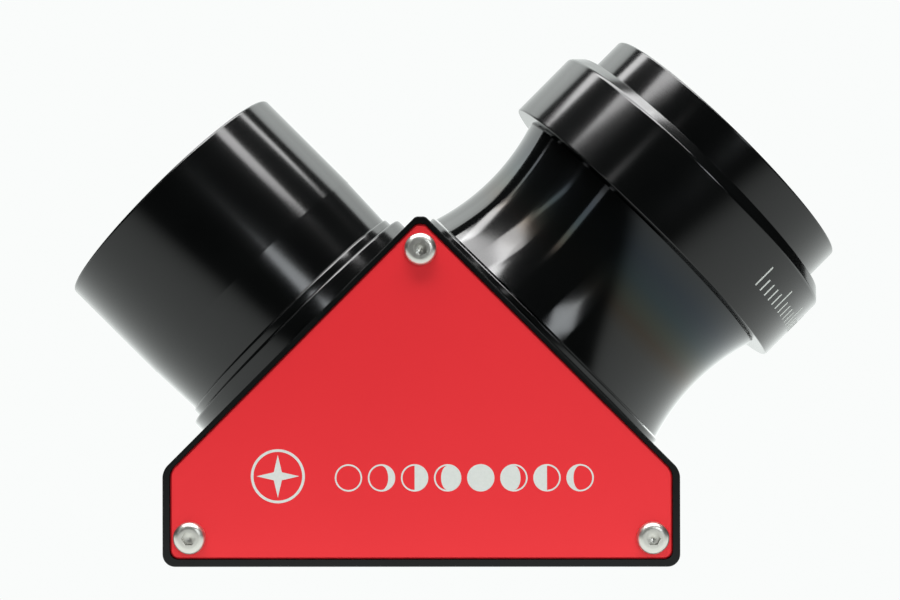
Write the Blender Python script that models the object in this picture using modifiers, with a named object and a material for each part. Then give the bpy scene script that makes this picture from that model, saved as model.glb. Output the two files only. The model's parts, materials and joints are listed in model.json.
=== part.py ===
"""A two inch, ninety degree star diagonal with a 1.25 inch adapter, as an assembly of its real pieces.

The two optical axes cross on the face of the mirror. The nose axis leaves that point up and to the
left, the eyepiece axis up and to the right, each at 45 degrees. X runs from nose to eyepiece, Y runs
from the front side plate to the rear one, and Z is up from the flat underside of the housing.
"""

import math

import bmesh
import bpy
from mathutils import Vector

MM = 0.001

# Clearances
GAP = 0.3 * MM  # between pieces that touch or slide on each other

EDGE = 0.3 * MM  # the broken edge of a turned piece
STEP = 0.1 * MM  # the short slope at either end of an undercut

# Optics and barrels
BARREL_RADIUS = 25.4 * MM  # two inch barrel
EYEPIECE_RADIUS = 15.875 * MM  # 1.25 inch barrel
APERTURE_WALL = 2.5 * MM  # two inch barrel radius down to the clear aperture
FILTER_WALL = 1.4 * MM  # wall left outside a two inch filter thread
FILTER_DEPTH = 7.0 * MM

# Housing
SPIGOT_WALL = 1.3 * MM  # wall of the seat rings where they screw into the housing
SPIGOT_CLEARANCE = 0.5 * MM  # keeps the feet of the two seat rings apart inside the housing
APEX_WALL = 5.0 * MM  # from a bore to the corner where the two slanting faces would meet
SHOULDER_WALL = 7.4 * MM  # from a bore to the lower end of its slanting face
SIDE_WALL = 1.6 * MM  # from a bore to the recess of a side plate
FACE_WALL = 6.0 * MM
END_WALL = 4.0 * MM
FLOOR = 5.0 * MM
APEX_CUT = 0.85 * MM  # height taken off the sharp apex
HOUSING_CORNER = 2.2 * MM
HOUSING_SHOULDER = 3.0 * MM
HOUSING_APEX = 0.9 * MM

# Side plates
PLATE_THICKNESS = 2.0 * MM
PLATE_SET_BACK = 0.2 * MM  # how far the plate lies below the rim round it
PLATE_RIM = 1.35 * MM
PLATE_FACE_RIM = 1.0 * MM  # rim along the slanting faces
PLATE_CHAMFER = 0.25 * MM

# Screws of the side plates, M3 by 8 button heads
PLATE_SCREW_RADIUS = 1.5 * MM
PLATE_SCREW_LENGTH = 8.0 * MM
BUTTON_RADIUS = 2.75 * MM
BUTTON_HEIGHT = 1.65 * MM
SOCKET_ACROSS = 2.0 * MM  # across the flats of the hexagon
SOCKET_DEPTH = 1.05 * MM
PLATE_SCREW_INSET = 4.8 * MM  # from the ends of the housing
PLATE_SCREW_HEIGHT = 5.1 * MM
PLATE_SCREW_DROP = 5.75 * MM  # from the top of the housing to the upper screw
BOSS_WALL = 2.4 * MM

# Mirror and its cell
MIRROR_THICKNESS = 8.0 * MM
MIRROR_MARGIN = 0.6 * MM
MIRROR_BEVEL = 0.4 * MM
PAD_THICKNESS = 0.6 * MM
PAD_RADIUS = 4.0 * MM
PAD_SHARE = 0.62  # distance of the pads from the middle, as a share of the mirror's half length
CELL_THICKNESS = 4.1 * MM
CELL_MARGIN = 0.2 * MM
CELL_SCREW_RADIUS = 1.5 * MM
CELL_SCREW_HEAD = 2.9 * MM
CELL_SCREW_TIP_WALL = 1.2 * MM  # cell left above the tip of a screw
CELL_SCREW_INSET_X = 8.0 * MM
CELL_SCREW_INSET_Y = 7.5 * MM
HEAD_SET_BACK = 0.2 * MM
CLIP_WIDTH = 12.0 * MM
CLIP_THICKNESS = 1.0 * MM
CLIP_REACH = 1.6 * MM  # overlap of a clip on the mirror
CLIP_SCREW_RADIUS = 1.0 * MM
CLIP_SCREW_HEAD = 1.9 * MM
CLIP_SCREW_HEAD_HEIGHT = 1.2 * MM
CLIP_SCREW_LENGTH = 4.0 * MM

# Nose
NOSE_SEAT_HEIGHT = 3.3 * MM
NOSE_SEAT_LIP = 1.6 * MM  # flange of the seat ring beyond the barrel
NOSE_THREAD_WALL = 1.1 * MM
NOSE_COLLAR_HEIGHT = 1.7 * MM
NOSE_UNDERCUT = 0.45 * MM
NOSE_UNDERCUT_LENGTH = 10.0 * MM
NOSE_LAND_STEP = 0.06 * MM  # from the shallow end of the undercut up to the land
NOSE_LAND = 21.9 * MM
NOSE_EDGE = 0.5 * MM

# Eyepiece neck
NECK_FLANGE_HEIGHT = 1.1 * MM
NECK_FLANGE_LIP = 0.6 * MM
NECK_LENGTH = 25.1 * MM
NECK_WAIST_WALL = 1.45 * MM
NECK_FLARE = 1.95 * MM
NECK_STOP_DEPTH = 5.7 * MM  # from the foot of the neck to the stop for a barrel
NECK_STOP_HEIGHT = 1.5 * MM
NECK_THREAD_WALL = 1.9 * MM
NECK_THREAD_LENGTH = 3.6 * MM

# Clamp ring for two inch barrels
CLAMP_WALL = 6.95 * MM
CLAMP_HEIGHT = 15.3 * MM
CLAMP_CHAMFER = 1.9 * MM
CLAMP_EDGE = 0.4 * MM
MOUTH_EDGE = 0.5 * MM  # lead-in at the mouth of an eyepiece bore
CLAMP_BAND_THICKNESS = 1.6 * MM  # brass compression ring
CLAMP_BAND_HEIGHT = 5.4 * MM
BAND_PLAY = 0.7 * MM
BAND_SPLIT = 2.5 * MM
BAND_SET_BACK = 0.1 * MM  # of the small compression ring below its bore

# Adapter from two inch to 1.25 inch
ADAPTER_LIP = 2.75 * MM
ADAPTER_FLANGE = 6.9 * MM
ADAPTER_REACH = 28.0 * MM
ADAPTER_EDGE = 0.4 * MM
ADAPTER_BORE_PLAY = 0.125 * MM
ADAPTER_UNDERCUT = 0.6 * MM
ADAPTER_UNDERCUT_MARGIN = 1.2 * MM
ADAPTER_BAND_THICKNESS = 1.5 * MM
ADAPTER_BAND_HEIGHT = 3.8 * MM

# Thumbscrews
THUMBSCREW_SPREAD = math.radians(40.0)  # of each clamp screw from straight back
CLAMP_STUD_RADIUS = 2.0 * MM
CLAMP_KNOB_RADIUS = 4.6 * MM
CLAMP_KNOB_LENGTH = 7.2 * MM
ADAPTER_STUD_RADIUS = 1.5 * MM
ADAPTER_KNOB_RADIUS = 3.3 * MM
ADAPTER_KNOB_LENGTH = 5.6 * MM
KNOB_NECK_WALL = 1.1 * MM
KNOB_NECK_LENGTH = 1.4 * MM
KNOB_SOCKET = 4.5 * MM  # depth of the stud in its knob
KNOB_EDGE = 0.5 * MM

# How finely the round pieces are cut
ROUND_STEPS = 40
SCREW_STEPS = 12
ARC_STEPS = 6
CORNER_STEPS = 3

# Sizes that follow
ROOT_2 = math.sqrt(2.0)
APERTURE = BARREL_RADIUS - APERTURE_WALL
FILTER_RADIUS = BARREL_RADIUS - FILTER_WALL
NOSE_THREAD_RADIUS = APERTURE + NOSE_THREAD_WALL
SPIGOT_RADIUS = NOSE_THREAD_RADIUS + GAP + SPIGOT_WALL
HOUSING_BORE = SPIGOT_RADIUS + GAP
FACE_DISTANCE = HOUSING_BORE + APEX_WALL
SPIGOT_FOOT = FACE_DISTANCE - APEX_WALL + SPIGOT_CLEARANCE
PLATE_RECESS = PLATE_SET_BACK + PLATE_THICKNESS + GAP
HALF_WIDTH = (FACE_DISTANCE + HOUSING_BORE + SHOULDER_WALL) / ROOT_2
HALF_DEPTH = HOUSING_BORE + SIDE_WALL + PLATE_RECESS
CELL_BASE = FLOOR + GAP
CELL_TOP = CELL_BASE + CELL_THICKNESS
MIRROR_BASE = CELL_TOP + GAP + PAD_THICKNESS + GAP
AXIS_HEIGHT = MIRROR_BASE + MIRROR_THICKNESS
APEX_HEIGHT = AXIS_HEIGHT + FACE_DISTANCE * ROOT_2 - APEX_CUT
PLATE_HOLE = PLATE_SCREW_RADIUS + GAP
BOSS = PLATE_HOLE + BOSS_WALL
PLATE_SCREW_X = HALF_WIDTH - PLATE_SCREW_INSET
PLATE_SCREW_TOP = APEX_HEIGHT - PLATE_SCREW_DROP
BOSS_SIDE = PLATE_SCREW_X - BOSS
BOSS_TOP = PLATE_SCREW_HEIGHT + BOSS
MIRROR_HALF_DEPTH = APERTURE + MIRROR_MARGIN
MIRROR_HALF_LENGTH = MIRROR_HALF_DEPTH * ROOT_2
CELL_HALF_LENGTH = BOSS_SIDE - GAP
CELL_HALF_DEPTH = MIRROR_HALF_DEPTH + CELL_MARGIN
HOLDER_BORE = BARREL_RADIUS + GAP
NECK_BASE = FACE_DISTANCE + NECK_FLANGE_HEIGHT + GAP
NECK_TOP = NECK_BASE + NECK_LENGTH
NECK_WAIST = HOLDER_BORE + NECK_WAIST_WALL
NECK_END = NECK_WAIST + NECK_FLARE
CLAMP_BASE = NECK_TOP + GAP
CLAMP_TOP = CLAMP_BASE + CLAMP_HEIGHT
CLAMP_MIDDLE = (CLAMP_BASE + CLAMP_TOP) / 2
CLAMP_RADIUS = HOLDER_BORE + CLAMP_WALL
CLAMP_BAND_RADIUS = HOLDER_BORE + CLAMP_BAND_THICKNESS
ADAPTER_BASE = CLAMP_TOP + GAP
ADAPTER_TOP = ADAPTER_BASE + ADAPTER_FLANGE
ADAPTER_MIDDLE = (ADAPTER_BASE + ADAPTER_TOP) / 2
ADAPTER_RADIUS = BARREL_RADIUS + ADAPTER_LIP
ADAPTER_BORE = EYEPIECE_RADIUS + ADAPTER_BORE_PLAY
ADAPTER_BAND_INNER = ADAPTER_BORE + BAND_SET_BACK
ADAPTER_BAND_RADIUS = ADAPTER_BAND_INNER + ADAPTER_BAND_THICKNESS
CUT = 5.0 * MM  # how far a cutter stands past what it cuts


def clear_scene():
    for obj in list(bpy.data.objects):
        bpy.data.objects.remove(obj, do_unlink=True)
    for collection in list(bpy.data.collections):
        bpy.data.collections.remove(collection)


def new_collection(name):
    collection = bpy.data.collections.new(name)
    bpy.context.scene.collection.children.link(collection)
    return collection


def material(name, colour, roughness, metallic):
    made = bpy.data.materials.new(name)
    made.use_nodes = True
    shader = made.node_tree.nodes["Principled BSDF"]
    shader.inputs["Base Color"].default_value = (*colour, 1.0)
    shader.inputs["Roughness"].default_value = roughness
    shader.inputs["Metallic"].default_value = metallic
    made.diffuse_color = (*colour, 1.0)
    return made


class Workshop:
    """The collections, finishes and the two optical axes that the pieces are made with."""

    def __init__(self):
        self.parts = new_collection("star_diagonal")
        self.cutters = new_collection("star_diagonal_cutters")
        self.black = material("black_anodised", (0.012, 0.013, 0.014), 0.28, 1.0)
        self.red = material("red_anodised", (0.68, 0.02, 0.03), 0.34, 1.0)
        self.steel = material("stainless_steel", (0.62, 0.62, 0.60), 0.25, 1.0)
        self.brass = material("brass", (0.72, 0.52, 0.22), 0.32, 1.0)
        self.glass = material("mirror_coating", (0.85, 0.88, 0.90), 0.03, 1.0)
        self.rubber = material("pad_silicone", (0.35, 0.35, 0.36), 0.8, 0.0)
        crossing = (0.0, 0.0, AXIS_HEIGHT)
        self.nose_axis = self.empty("nose_axis", crossing, (0.0, -math.pi / 4, 0.0))
        self.eyepiece_axis = self.empty("eyepiece_axis", crossing, (0.0, math.pi / 4, 0.0))

    def empty(self, name, location, rotation, parent=None):
        axis = bpy.data.objects.new(name, None)
        axis.empty_display_size = 10 * MM
        axis.location = location
        axis.rotation_euler = rotation
        axis.parent = parent
        self.parts.objects.link(axis)
        return axis

    def part(self, name, mesh, finish, parent=None):
        obj = bpy.data.objects.new(name, mesh)
        if not mesh.materials:
            mesh.materials.append(finish)
        obj.parent = parent
        self.parts.objects.link(obj)
        return obj

    def cutter(self, name, mesh, parent=None):
        obj = bpy.data.objects.new(name, mesh)
        obj.parent = parent
        obj.hide_render = True
        obj.display_type = "WIRE"
        self.cutters.objects.link(obj)
        return obj


def cut(obj, cutter):
    boolean = obj.modifiers.new(f"cut {cutter.name}", "BOOLEAN")
    boolean.operation = "DIFFERENCE"
    boolean.solver = "EXACT"
    boolean.object = cutter


def turn(obj, steps):
    """Turns the object's profile about its own Z axis."""
    screw = obj.modifiers.new("turn", "SCREW")
    screw.axis = "Z"
    screw.angle = 2 * math.pi
    screw.steps = steps
    screw.render_steps = steps
    screw.use_merge_vertices = True
    screw.merge_threshold = 0.00001
    screw.use_smooth_shade = True


def profile_mesh(name, points, ring):
    """A profile as edges from (radius, height) points. A ring's profile is a closed loop."""
    mesh = bpy.data.meshes.new(name)
    count = len(points)
    edges = [(i, i + 1) for i in range(count - 1)]
    if ring:
        edges.append((count - 1, 0))
    mesh.from_pydata([(radius, 0.0, height) for radius, height in points], edges, [])
    return mesh


def turned_ring(shop, name, outer, inner, finish, parent, steps=ROUND_STEPS):
    """A turned ring: the outer profile from top to bottom, then the inner one from bottom to top."""
    obj = shop.part(name, profile_mesh(name, outer + inner, True), finish, parent)
    turn(obj, steps)
    return obj


def turned_solid(shop, name, profile, finish, parent, steps=SCREW_STEPS):
    obj = shop.part(name, profile_mesh(name, profile, False), finish, parent)
    turn(obj, steps)
    return obj


def cylinder_mesh(name, radius, bottom, top, steps, top_radius=None):
    """A cylinder or cone along Z, as a primitive."""
    shape = bmesh.new()
    bmesh.ops.create_cone(
        shape,
        cap_ends=True,
        segments=steps,
        radius1=radius,
        radius2=radius if top_radius is None else top_radius,
        depth=top - bottom,
    )
    bmesh.ops.translate(shape, verts=shape.verts, vec=(0.0, 0.0, (top + bottom) / 2))
    mesh = bpy.data.meshes.new(name)
    shape.to_mesh(mesh)
    shape.free()
    mesh.shade_smooth()
    mesh.set_sharp_from_angle(angle=math.radians(30))
    return mesh


def box_mesh(name, low, high):
    shape = bmesh.new()
    bmesh.ops.create_cube(shape, size=1.0)
    size = [b - a for a, b in zip(low, high)]
    middle = [(a + b) / 2 for a, b in zip(low, high)]
    bmesh.ops.scale(shape, verts=shape.verts, vec=size)
    bmesh.ops.translate(shape, verts=shape.verts, vec=middle)
    mesh = bpy.data.meshes.new(name)
    shape.to_mesh(mesh)
    shape.free()
    return mesh


def rounded(corners):
    """An outline from (x, y, radius) corners, in order, each rounded to its radius."""
    points = []
    count = len(corners)
    for i, (x, y, radius) in enumerate(corners):
        here = Vector((x, y))
        back = (Vector(corners[i - 1][:2]) - here).normalized()
        ahead = (Vector(corners[(i + 1) % count][:2]) - here).normalized()
        if radius <= 0:
            points.append(here)
            continue
        half = back.angle(ahead) / 2
        centre = here + (back + ahead).normalized() * (radius / math.sin(half))
        start = here + back * (radius / math.tan(half)) - centre
        sweep = math.pi - 2 * half
        side = math.copysign(1.0, back.x * ahead.y - back.y * ahead.x)
        for step in range(CORNER_STEPS + 1):
            angle = -side * sweep * step / CORNER_STEPS
            turned = Vector((
                start.x * math.cos(angle) - start.y * math.sin(angle),
                start.x * math.sin(angle) + start.y * math.cos(angle),
            ))
            points.append(centre + turned)
    return points


def outline_mesh(name, points, low, high):
    """An outline in X and Z, filled and extruded from y = low to y = high, as a closed mesh."""
    curve = bpy.data.curves.new(name, "CURVE")
    curve.dimensions = "2D"
    curve.fill_mode = "BOTH"
    curve.extrude = (high - low) / 2
    spline = curve.splines.new("POLY")
    spline.points.add(len(points) - 1)
    for point, (x, y) in zip(spline.points, points):
        point.co = (x, y, 0.0, 1.0)
    spline.use_cyclic_u = True
    guide = bpy.data.objects.new(name, curve)
    bpy.context.scene.collection.objects.link(guide)
    graph = bpy.context.evaluated_depsgraph_get()
    mesh = bpy.data.meshes.new_from_object(guide.evaluated_get(graph))
    bpy.data.objects.remove(guide, do_unlink=True)
    bpy.data.curves.remove(curve)
    shape = bmesh.new()
    shape.from_mesh(mesh)
    bmesh.ops.remove_doubles(shape, verts=shape.verts, dist=0.000001)
    middle = (low + high) / 2
    for vertex in shape.verts:
        x, y, z = vertex.co
        vertex.co = (x, middle - z, y)
    bmesh.ops.recalc_face_normals(shape, faces=shape.faces)
    shape.to_mesh(mesh)
    shape.free()
    return mesh


def finished_mesh(shop, name, obj, helpers):
    """The mesh that an object's modifiers give, with the object and its helpers removed."""
    graph = bpy.context.evaluated_depsgraph_get()
    mesh = bpy.data.meshes.new_from_object(obj.evaluated_get(graph))
    mesh.name = name
    for spent in [obj, *helpers]:
        bpy.data.objects.remove(spent, do_unlink=True)
    return mesh


def house_outline(half_width, bottom, face_distance, apex, corner, shoulder, peak):
    """The five-sided outline of the housing, with its apex cut flat."""
    reach = face_distance * ROOT_2
    shoulder_height = AXIS_HEIGHT + reach - half_width
    flat = AXIS_HEIGHT + reach - apex
    return rounded([
        (-half_width, bottom, corner),
        (half_width, bottom, corner),
        (half_width, shoulder_height, shoulder),
        (flat, apex, peak),
        (-flat, apex, peak),
        (-half_width, shoulder_height, shoulder),
    ])


def plate_outline(grow):
    """The outline of a side plate, or of its recess where it grows by the clearance."""
    return house_outline(
        HALF_WIDTH - PLATE_RIM + grow,
        PLATE_RIM - grow,
        FACE_DISTANCE - PLATE_FACE_RIM + grow,
        APEX_HEIGHT - PLATE_RIM + grow,
        HOUSING_CORNER - PLATE_RIM / 2,
        HOUSING_SHOULDER - PLATE_FACE_RIM / 2,
        HOUSING_APEX,
    )


def pocket_outline():
    """The hollow of the housing, which leaves a boss for each screw of the side plates."""
    inner_reach = (FACE_DISTANCE - FACE_WALL) * ROOT_2
    side = HALF_WIDTH - END_WALL
    top = PLATE_SCREW_TOP - BOSS
    slope_foot = AXIS_HEIGHT + inner_reach - side
    slope_head = AXIS_HEIGHT + inner_reach - top
    right = [
        (BOSS_SIDE, FLOOR),
        (BOSS_SIDE, BOSS_TOP),
        (side, BOSS_TOP),
        (side, slope_foot),
        (slope_head, top),
    ]
    return right + [(-x, z) for x, z in reversed(right)]


def plate_screw_places():
    return {
        "top": (0.0, PLATE_SCREW_TOP),
        "left": (-PLATE_SCREW_X, PLATE_SCREW_HEIGHT),
        "right": (PLATE_SCREW_X, PLATE_SCREW_HEIGHT),
    }


def cell_screw_places():
    x = CELL_HALF_LENGTH - CELL_SCREW_INSET_X
    y = CELL_HALF_DEPTH - CELL_SCREW_INSET_Y
    return {
        "front_left": (-x, -y),
        "front_right": (x, -y),
        "rear_left": (-x, y),
        "rear_right": (x, y),
    }


def make_housing(shop):
    outline = house_outline(
        HALF_WIDTH,
        0.0,
        FACE_DISTANCE,
        APEX_HEIGHT,
        HOUSING_CORNER,
        HOUSING_SHOULDER,
        HOUSING_APEX,
    )
    mesh = outline_mesh("housing_body", outline, -HALF_DEPTH, HALF_DEPTH)
    housing = shop.part("housing_body", mesh, shop.black)

    through = outline_mesh(
        "pocket_cutter", pocket_outline(), -HALF_DEPTH - CUT, HALF_DEPTH + CUT
    )
    cut(housing, shop.cutter("pocket_cutter", through))

    floor = HALF_DEPTH - PLATE_RECESS
    recess = plate_outline(GAP)
    for name, low, high in (
        ("front_recess_cutter", -HALF_DEPTH - CUT, -floor),
        ("rear_recess_cutter", floor, HALF_DEPTH + CUT),
    ):
        cut(housing, shop.cutter(name, outline_mesh(name, recess, low, high)))

    for name, axis in (
        ("nose_bore_cutter", shop.nose_axis),
        ("neck_bore_cutter", shop.eyepiece_axis),
    ):
        low = FACE_DISTANCE - FACE_WALL - CUT
        bore = cylinder_mesh(name, HOUSING_BORE, low, FACE_DISTANCE + CUT, ROUND_STEPS)
        cut(housing, shop.cutter(name, bore, axis))

    depth = PLATE_SCREW_LENGTH - PLATE_THICKNESS + GAP
    hole = cylinder_mesh("plate_screw_hole", PLATE_HOLE, -depth, CUT, SCREW_STEPS)
    for side, sign in (("front", -1), ("rear", 1)):
        for place, (x, z) in plate_screw_places().items():
            cutter = shop.cutter(f"{side}_{place}_screw_cutter", hole)
            cutter.location = (x, sign * floor, z)
            cutter.rotation_euler = (-sign * math.pi / 2, 0.0, 0.0)
            cut(housing, cutter)

    sink_radius = CELL_SCREW_HEAD + HEAD_SET_BACK + GAP * ROOT_2
    shank_hole = CELL_SCREW_RADIUS + GAP
    for place, (x, y) in cell_screw_places().items():
        shank = cylinder_mesh("cell_screw_hole", shank_hole, -CUT, FLOOR + CUT, SCREW_STEPS)
        sink = cylinder_mesh(
            "cell_screw_sink",
            sink_radius + CUT,
            -CUT,
            sink_radius - shank_hole + STEP,
            SCREW_STEPS,
            shank_hole - STEP,
        )
        for kind, tool in (("hole", shank), ("sink", sink)):
            cutter = shop.cutter(f"{place}_{kind}_cutter", tool)
            cutter.location = (x, y, 0.0)
            cut(housing, cutter)


def make_side_plates(shop):
    hole = cylinder_mesh("plate_hole", PLATE_HOLE, -CUT, CUT, SCREW_STEPS)
    outer = HALF_DEPTH - PLATE_SET_BACK
    inner = outer - PLATE_THICKNESS
    for side, sign in (("front", -1), ("rear", 1)):
        low, high = sorted((sign * outer, sign * inner))
        name = f"side_plate_{side}"
        plate = shop.part(name, outline_mesh(name, plate_outline(0.0), low, high), shop.red)
        chamfer = plate.modifiers.new("chamfer", "BEVEL")
        chamfer.width = PLATE_CHAMFER
        chamfer.segments = 1
        chamfer.limit_method = "ANGLE"
        chamfer.angle_limit = math.radians(60)
        for place, (x, z) in plate_screw_places().items():
            cutter = shop.cutter(f"{side}_{place}_plate_cutter", hole)
            cutter.location = (x, sign * (outer + inner) / 2, z)
            cutter.rotation_euler = (math.pi / 2, 0.0, 0.0)
            cut(plate, cutter)


def button_screw_mesh(shop):
    """A button-head screw along Z, its head's underside at zero and its socket facing up."""
    dome = []
    for step in range(4):
        angle = math.radians(18 + 24 * step)
        dome.append((BUTTON_RADIUS * math.sin(angle), BUTTON_HEIGHT * math.cos(angle)))
    shank = PLATE_SCREW_RADIUS
    profile = [
        (0.0, BUTTON_HEIGHT),
        *dome,
        (BUTTON_RADIUS, 0.0),
        (shank, 0.0),
        (shank, -PLATE_SCREW_LENGTH + shank / 3),
        (shank * 2 / 3, -PLATE_SCREW_LENGTH),
        (0.0, -PLATE_SCREW_LENGTH),
    ]
    screw = turned_solid(shop, "button_screw", profile, shop.steel, None)
    corner = SOCKET_ACROSS / math.sqrt(3.0)
    socket = cylinder_mesh("socket", corner, BUTTON_HEIGHT - SOCKET_DEPTH, BUTTON_HEIGHT + CUT, 6)
    tool = shop.cutter("socket_cutter", socket)
    cut(screw, tool)
    return finished_mesh(shop, "button_screw", screw, [tool])


def make_plate_screws(shop):
    mesh = button_screw_mesh(shop)
    seat = HALF_DEPTH - PLATE_SET_BACK + GAP
    for side, sign in (("front", -1), ("rear", 1)):
        for place, (x, z) in plate_screw_places().items():
            screw = shop.part(f"plate_screw_{side}_{place}", mesh, shop.steel)
            screw.location = (x, sign * seat, z)
            screw.rotation_euler = (-sign * math.pi / 2, 0.0, 0.0)


def make_mirror_cell(shop):
    low = (-CELL_HALF_LENGTH, -CELL_HALF_DEPTH, CELL_BASE)
    high = (CELL_HALF_LENGTH, CELL_HALF_DEPTH, CELL_TOP)
    cell = shop.part("mirror_cell", box_mesh("mirror_cell", low, high), shop.black)
    tip = CELL_TOP - CELL_SCREW_TIP_WALL
    radius = CELL_SCREW_RADIUS + GAP
    hole = cylinder_mesh("cell_hole", radius, CELL_BASE - CUT, tip + GAP, SCREW_STEPS)
    shank = CELL_SCREW_RADIUS
    profile = [
        (0.0, tip),
        (shank * 2 / 3, tip),
        (shank, tip - shank / 3),
        (shank, HEAD_SET_BACK + CELL_SCREW_HEAD - shank),
        (CELL_SCREW_HEAD, HEAD_SET_BACK),
        (0.0, HEAD_SET_BACK),
    ]
    pattern = turned_solid(shop, "countersunk_screw", profile, shop.steel, None)
    mesh = finished_mesh(shop, "countersunk_screw", pattern, [])
    for place, (x, y) in cell_screw_places().items():
        cutter = shop.cutter(f"{place}_cell_cutter", hole)
        cutter.location = (x, y, 0.0)
        cut(cell, cutter)
        screw = shop.part(f"cell_screw_{place}", mesh, shop.steel)
        screw.location = (x, y, 0.0)

    side_hole = cylinder_mesh(
        "clip_hole", CLIP_SCREW_RADIUS + GAP, -CLIP_SCREW_LENGTH, CUT, SCREW_STEPS
    )
    height = (CELL_BASE + CELL_TOP) / 2
    for side, sign in (("front", -1), ("rear", 1)):
        cutter = shop.cutter(f"{side}_clip_cell_cutter", side_hole)
        cutter.location = (0.0, sign * CELL_HALF_DEPTH, height)
        cutter.rotation_euler = (-sign * math.pi / 2, 0.0, 0.0)
        cut(cell, cutter)


def make_mirror(shop):
    low = (-MIRROR_HALF_LENGTH, -MIRROR_HALF_DEPTH, MIRROR_BASE)
    high = (MIRROR_HALF_LENGTH, MIRROR_HALF_DEPTH, AXIS_HEIGHT)
    mirror = shop.part("mirror", box_mesh("mirror", low, high), shop.glass)
    edge = mirror.modifiers.new("edge", "BEVEL")
    edge.width = MIRROR_BEVEL
    edge.segments = 1

    base = CELL_TOP + GAP
    pad = cylinder_mesh("mirror_pad", PAD_RADIUS, base, base + PAD_THICKNESS, SCREW_STEPS)
    far = MIRROR_HALF_LENGTH * PAD_SHARE
    wide = MIRROR_HALF_DEPTH * PAD_SHARE
    for place, x, y in (("left", -far, 0.0), ("front", far, -wide), ("rear", far, wide)):
        disc = shop.part(f"mirror_pad_{place}", pad, shop.rubber)
        disc.location = (x, y, 0.0)


def make_mirror_clips(shop):
    """Two bent clips, screwed to the sides of the cell, whose fingers hold the mirror down."""
    face = CELL_HALF_DEPTH + GAP
    foot = CELL_BASE + GAP
    head = AXIS_HEIGHT + GAP
    middle = (CELL_BASE + CELL_TOP) / 2
    finger = MIRROR_HALF_DEPTH - CLIP_REACH
    outline = [
        (face, foot),
        (face + CLIP_THICKNESS, foot),
        (face + CLIP_THICKNESS, head + CLIP_THICKNESS),
        (finger, head + CLIP_THICKNESS),
        (finger, head),
        (face, head),
    ]
    hole = cylinder_mesh("clip_bore", CLIP_SCREW_RADIUS + GAP, -CUT, CUT, SCREW_STEPS)
    profile = [
        (0.0, CLIP_SCREW_HEAD_HEIGHT),
        (CLIP_SCREW_HEAD * 0.7, CLIP_SCREW_HEAD_HEIGHT),
        (CLIP_SCREW_HEAD, CLIP_SCREW_HEAD_HEIGHT / 2),
        (CLIP_SCREW_HEAD, 0.0),
        (CLIP_SCREW_RADIUS, 0.0),
        (CLIP_SCREW_RADIUS, -CLIP_SCREW_LENGTH),
        (0.0, -CLIP_SCREW_LENGTH),
    ]
    pattern = turned_solid(shop, "clip_screw", profile, shop.steel, None)
    screw_mesh = finished_mesh(shop, "clip_screw", pattern, [])
    for side, sign in (("front", -1), ("rear", 1)):
        name = f"mirror_clip_{side}"
        half = CLIP_WIDTH / 2
        mesh = outline_mesh(name, [Vector(point) for point in outline], -half, half)
        clip = shop.part(name, mesh, shop.steel)
        clip.rotation_euler = (0.0, 0.0, sign * math.pi / 2)
        cutter = shop.cutter(f"{side}_clip_cutter", hole)
        cutter.location = (0.0, sign * (face + CLIP_THICKNESS / 2), middle)
        cutter.rotation_euler = (math.pi / 2, 0.0, 0.0)
        cut(clip, cutter)
        screw = shop.part(f"mirror_clip_screw_{side}", screw_mesh, shop.steel)
        screw.location = (0.0, sign * (face + CLIP_THICKNESS + GAP), middle)
        screw.rotation_euler = (-sign * math.pi / 2, 0.0, 0.0)


def make_nose(shop):
    flange_base = FACE_DISTANCE + GAP
    seat_top = FACE_DISTANCE + NOSE_SEAT_HEIGHT
    stop = SPIGOT_FOOT + (seat_top - SPIGOT_FOOT) / 3
    flange = BARREL_RADIUS + NOSE_SEAT_LIP
    thread = NOSE_THREAD_RADIUS
    turned_ring(
        shop,
        "nose_seat_ring",
        [
            (flange - EDGE, seat_top),
            (flange, seat_top - EDGE),
            (flange, flange_base),
            (SPIGOT_RADIUS, flange_base),
            (SPIGOT_RADIUS, SPIGOT_FOOT),
        ],
        [
            (APERTURE + GAP, SPIGOT_FOOT),
            (APERTURE + GAP, stop),
            (thread + GAP, stop),
            (thread + GAP, seat_top),
        ],
        shop.black,
        shop.nose_axis,
    )

    collar_base = seat_top + GAP
    collar_top = seat_top + NOSE_COLLAR_HEIGHT
    land_base = collar_top + NOSE_UNDERCUT_LENGTH
    tip = land_base + NOSE_LAND
    turned_ring(
        shop,
        "nose_barrel",
        [
            (BARREL_RADIUS - NOSE_EDGE, tip),
            (BARREL_RADIUS, tip - NOSE_EDGE),
            (BARREL_RADIUS, land_base),
            (BARREL_RADIUS - NOSE_LAND_STEP, land_base - STEP),
            (BARREL_RADIUS - NOSE_UNDERCUT, collar_top + STEP),
            (BARREL_RADIUS - EDGE, collar_top),
            (BARREL_RADIUS, collar_top - EDGE),
            (BARREL_RADIUS, collar_base),
            (thread, collar_base),
            (thread, stop + GAP),
        ],
        [
            (APERTURE, stop + GAP),
            (APERTURE, tip - FILTER_DEPTH),
            (FILTER_RADIUS, tip - FILTER_DEPTH),
            (FILTER_RADIUS, tip - EDGE),
            (FILTER_RADIUS + EDGE, tip),
        ],
        shop.black,
        shop.nose_axis,
    )


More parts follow.
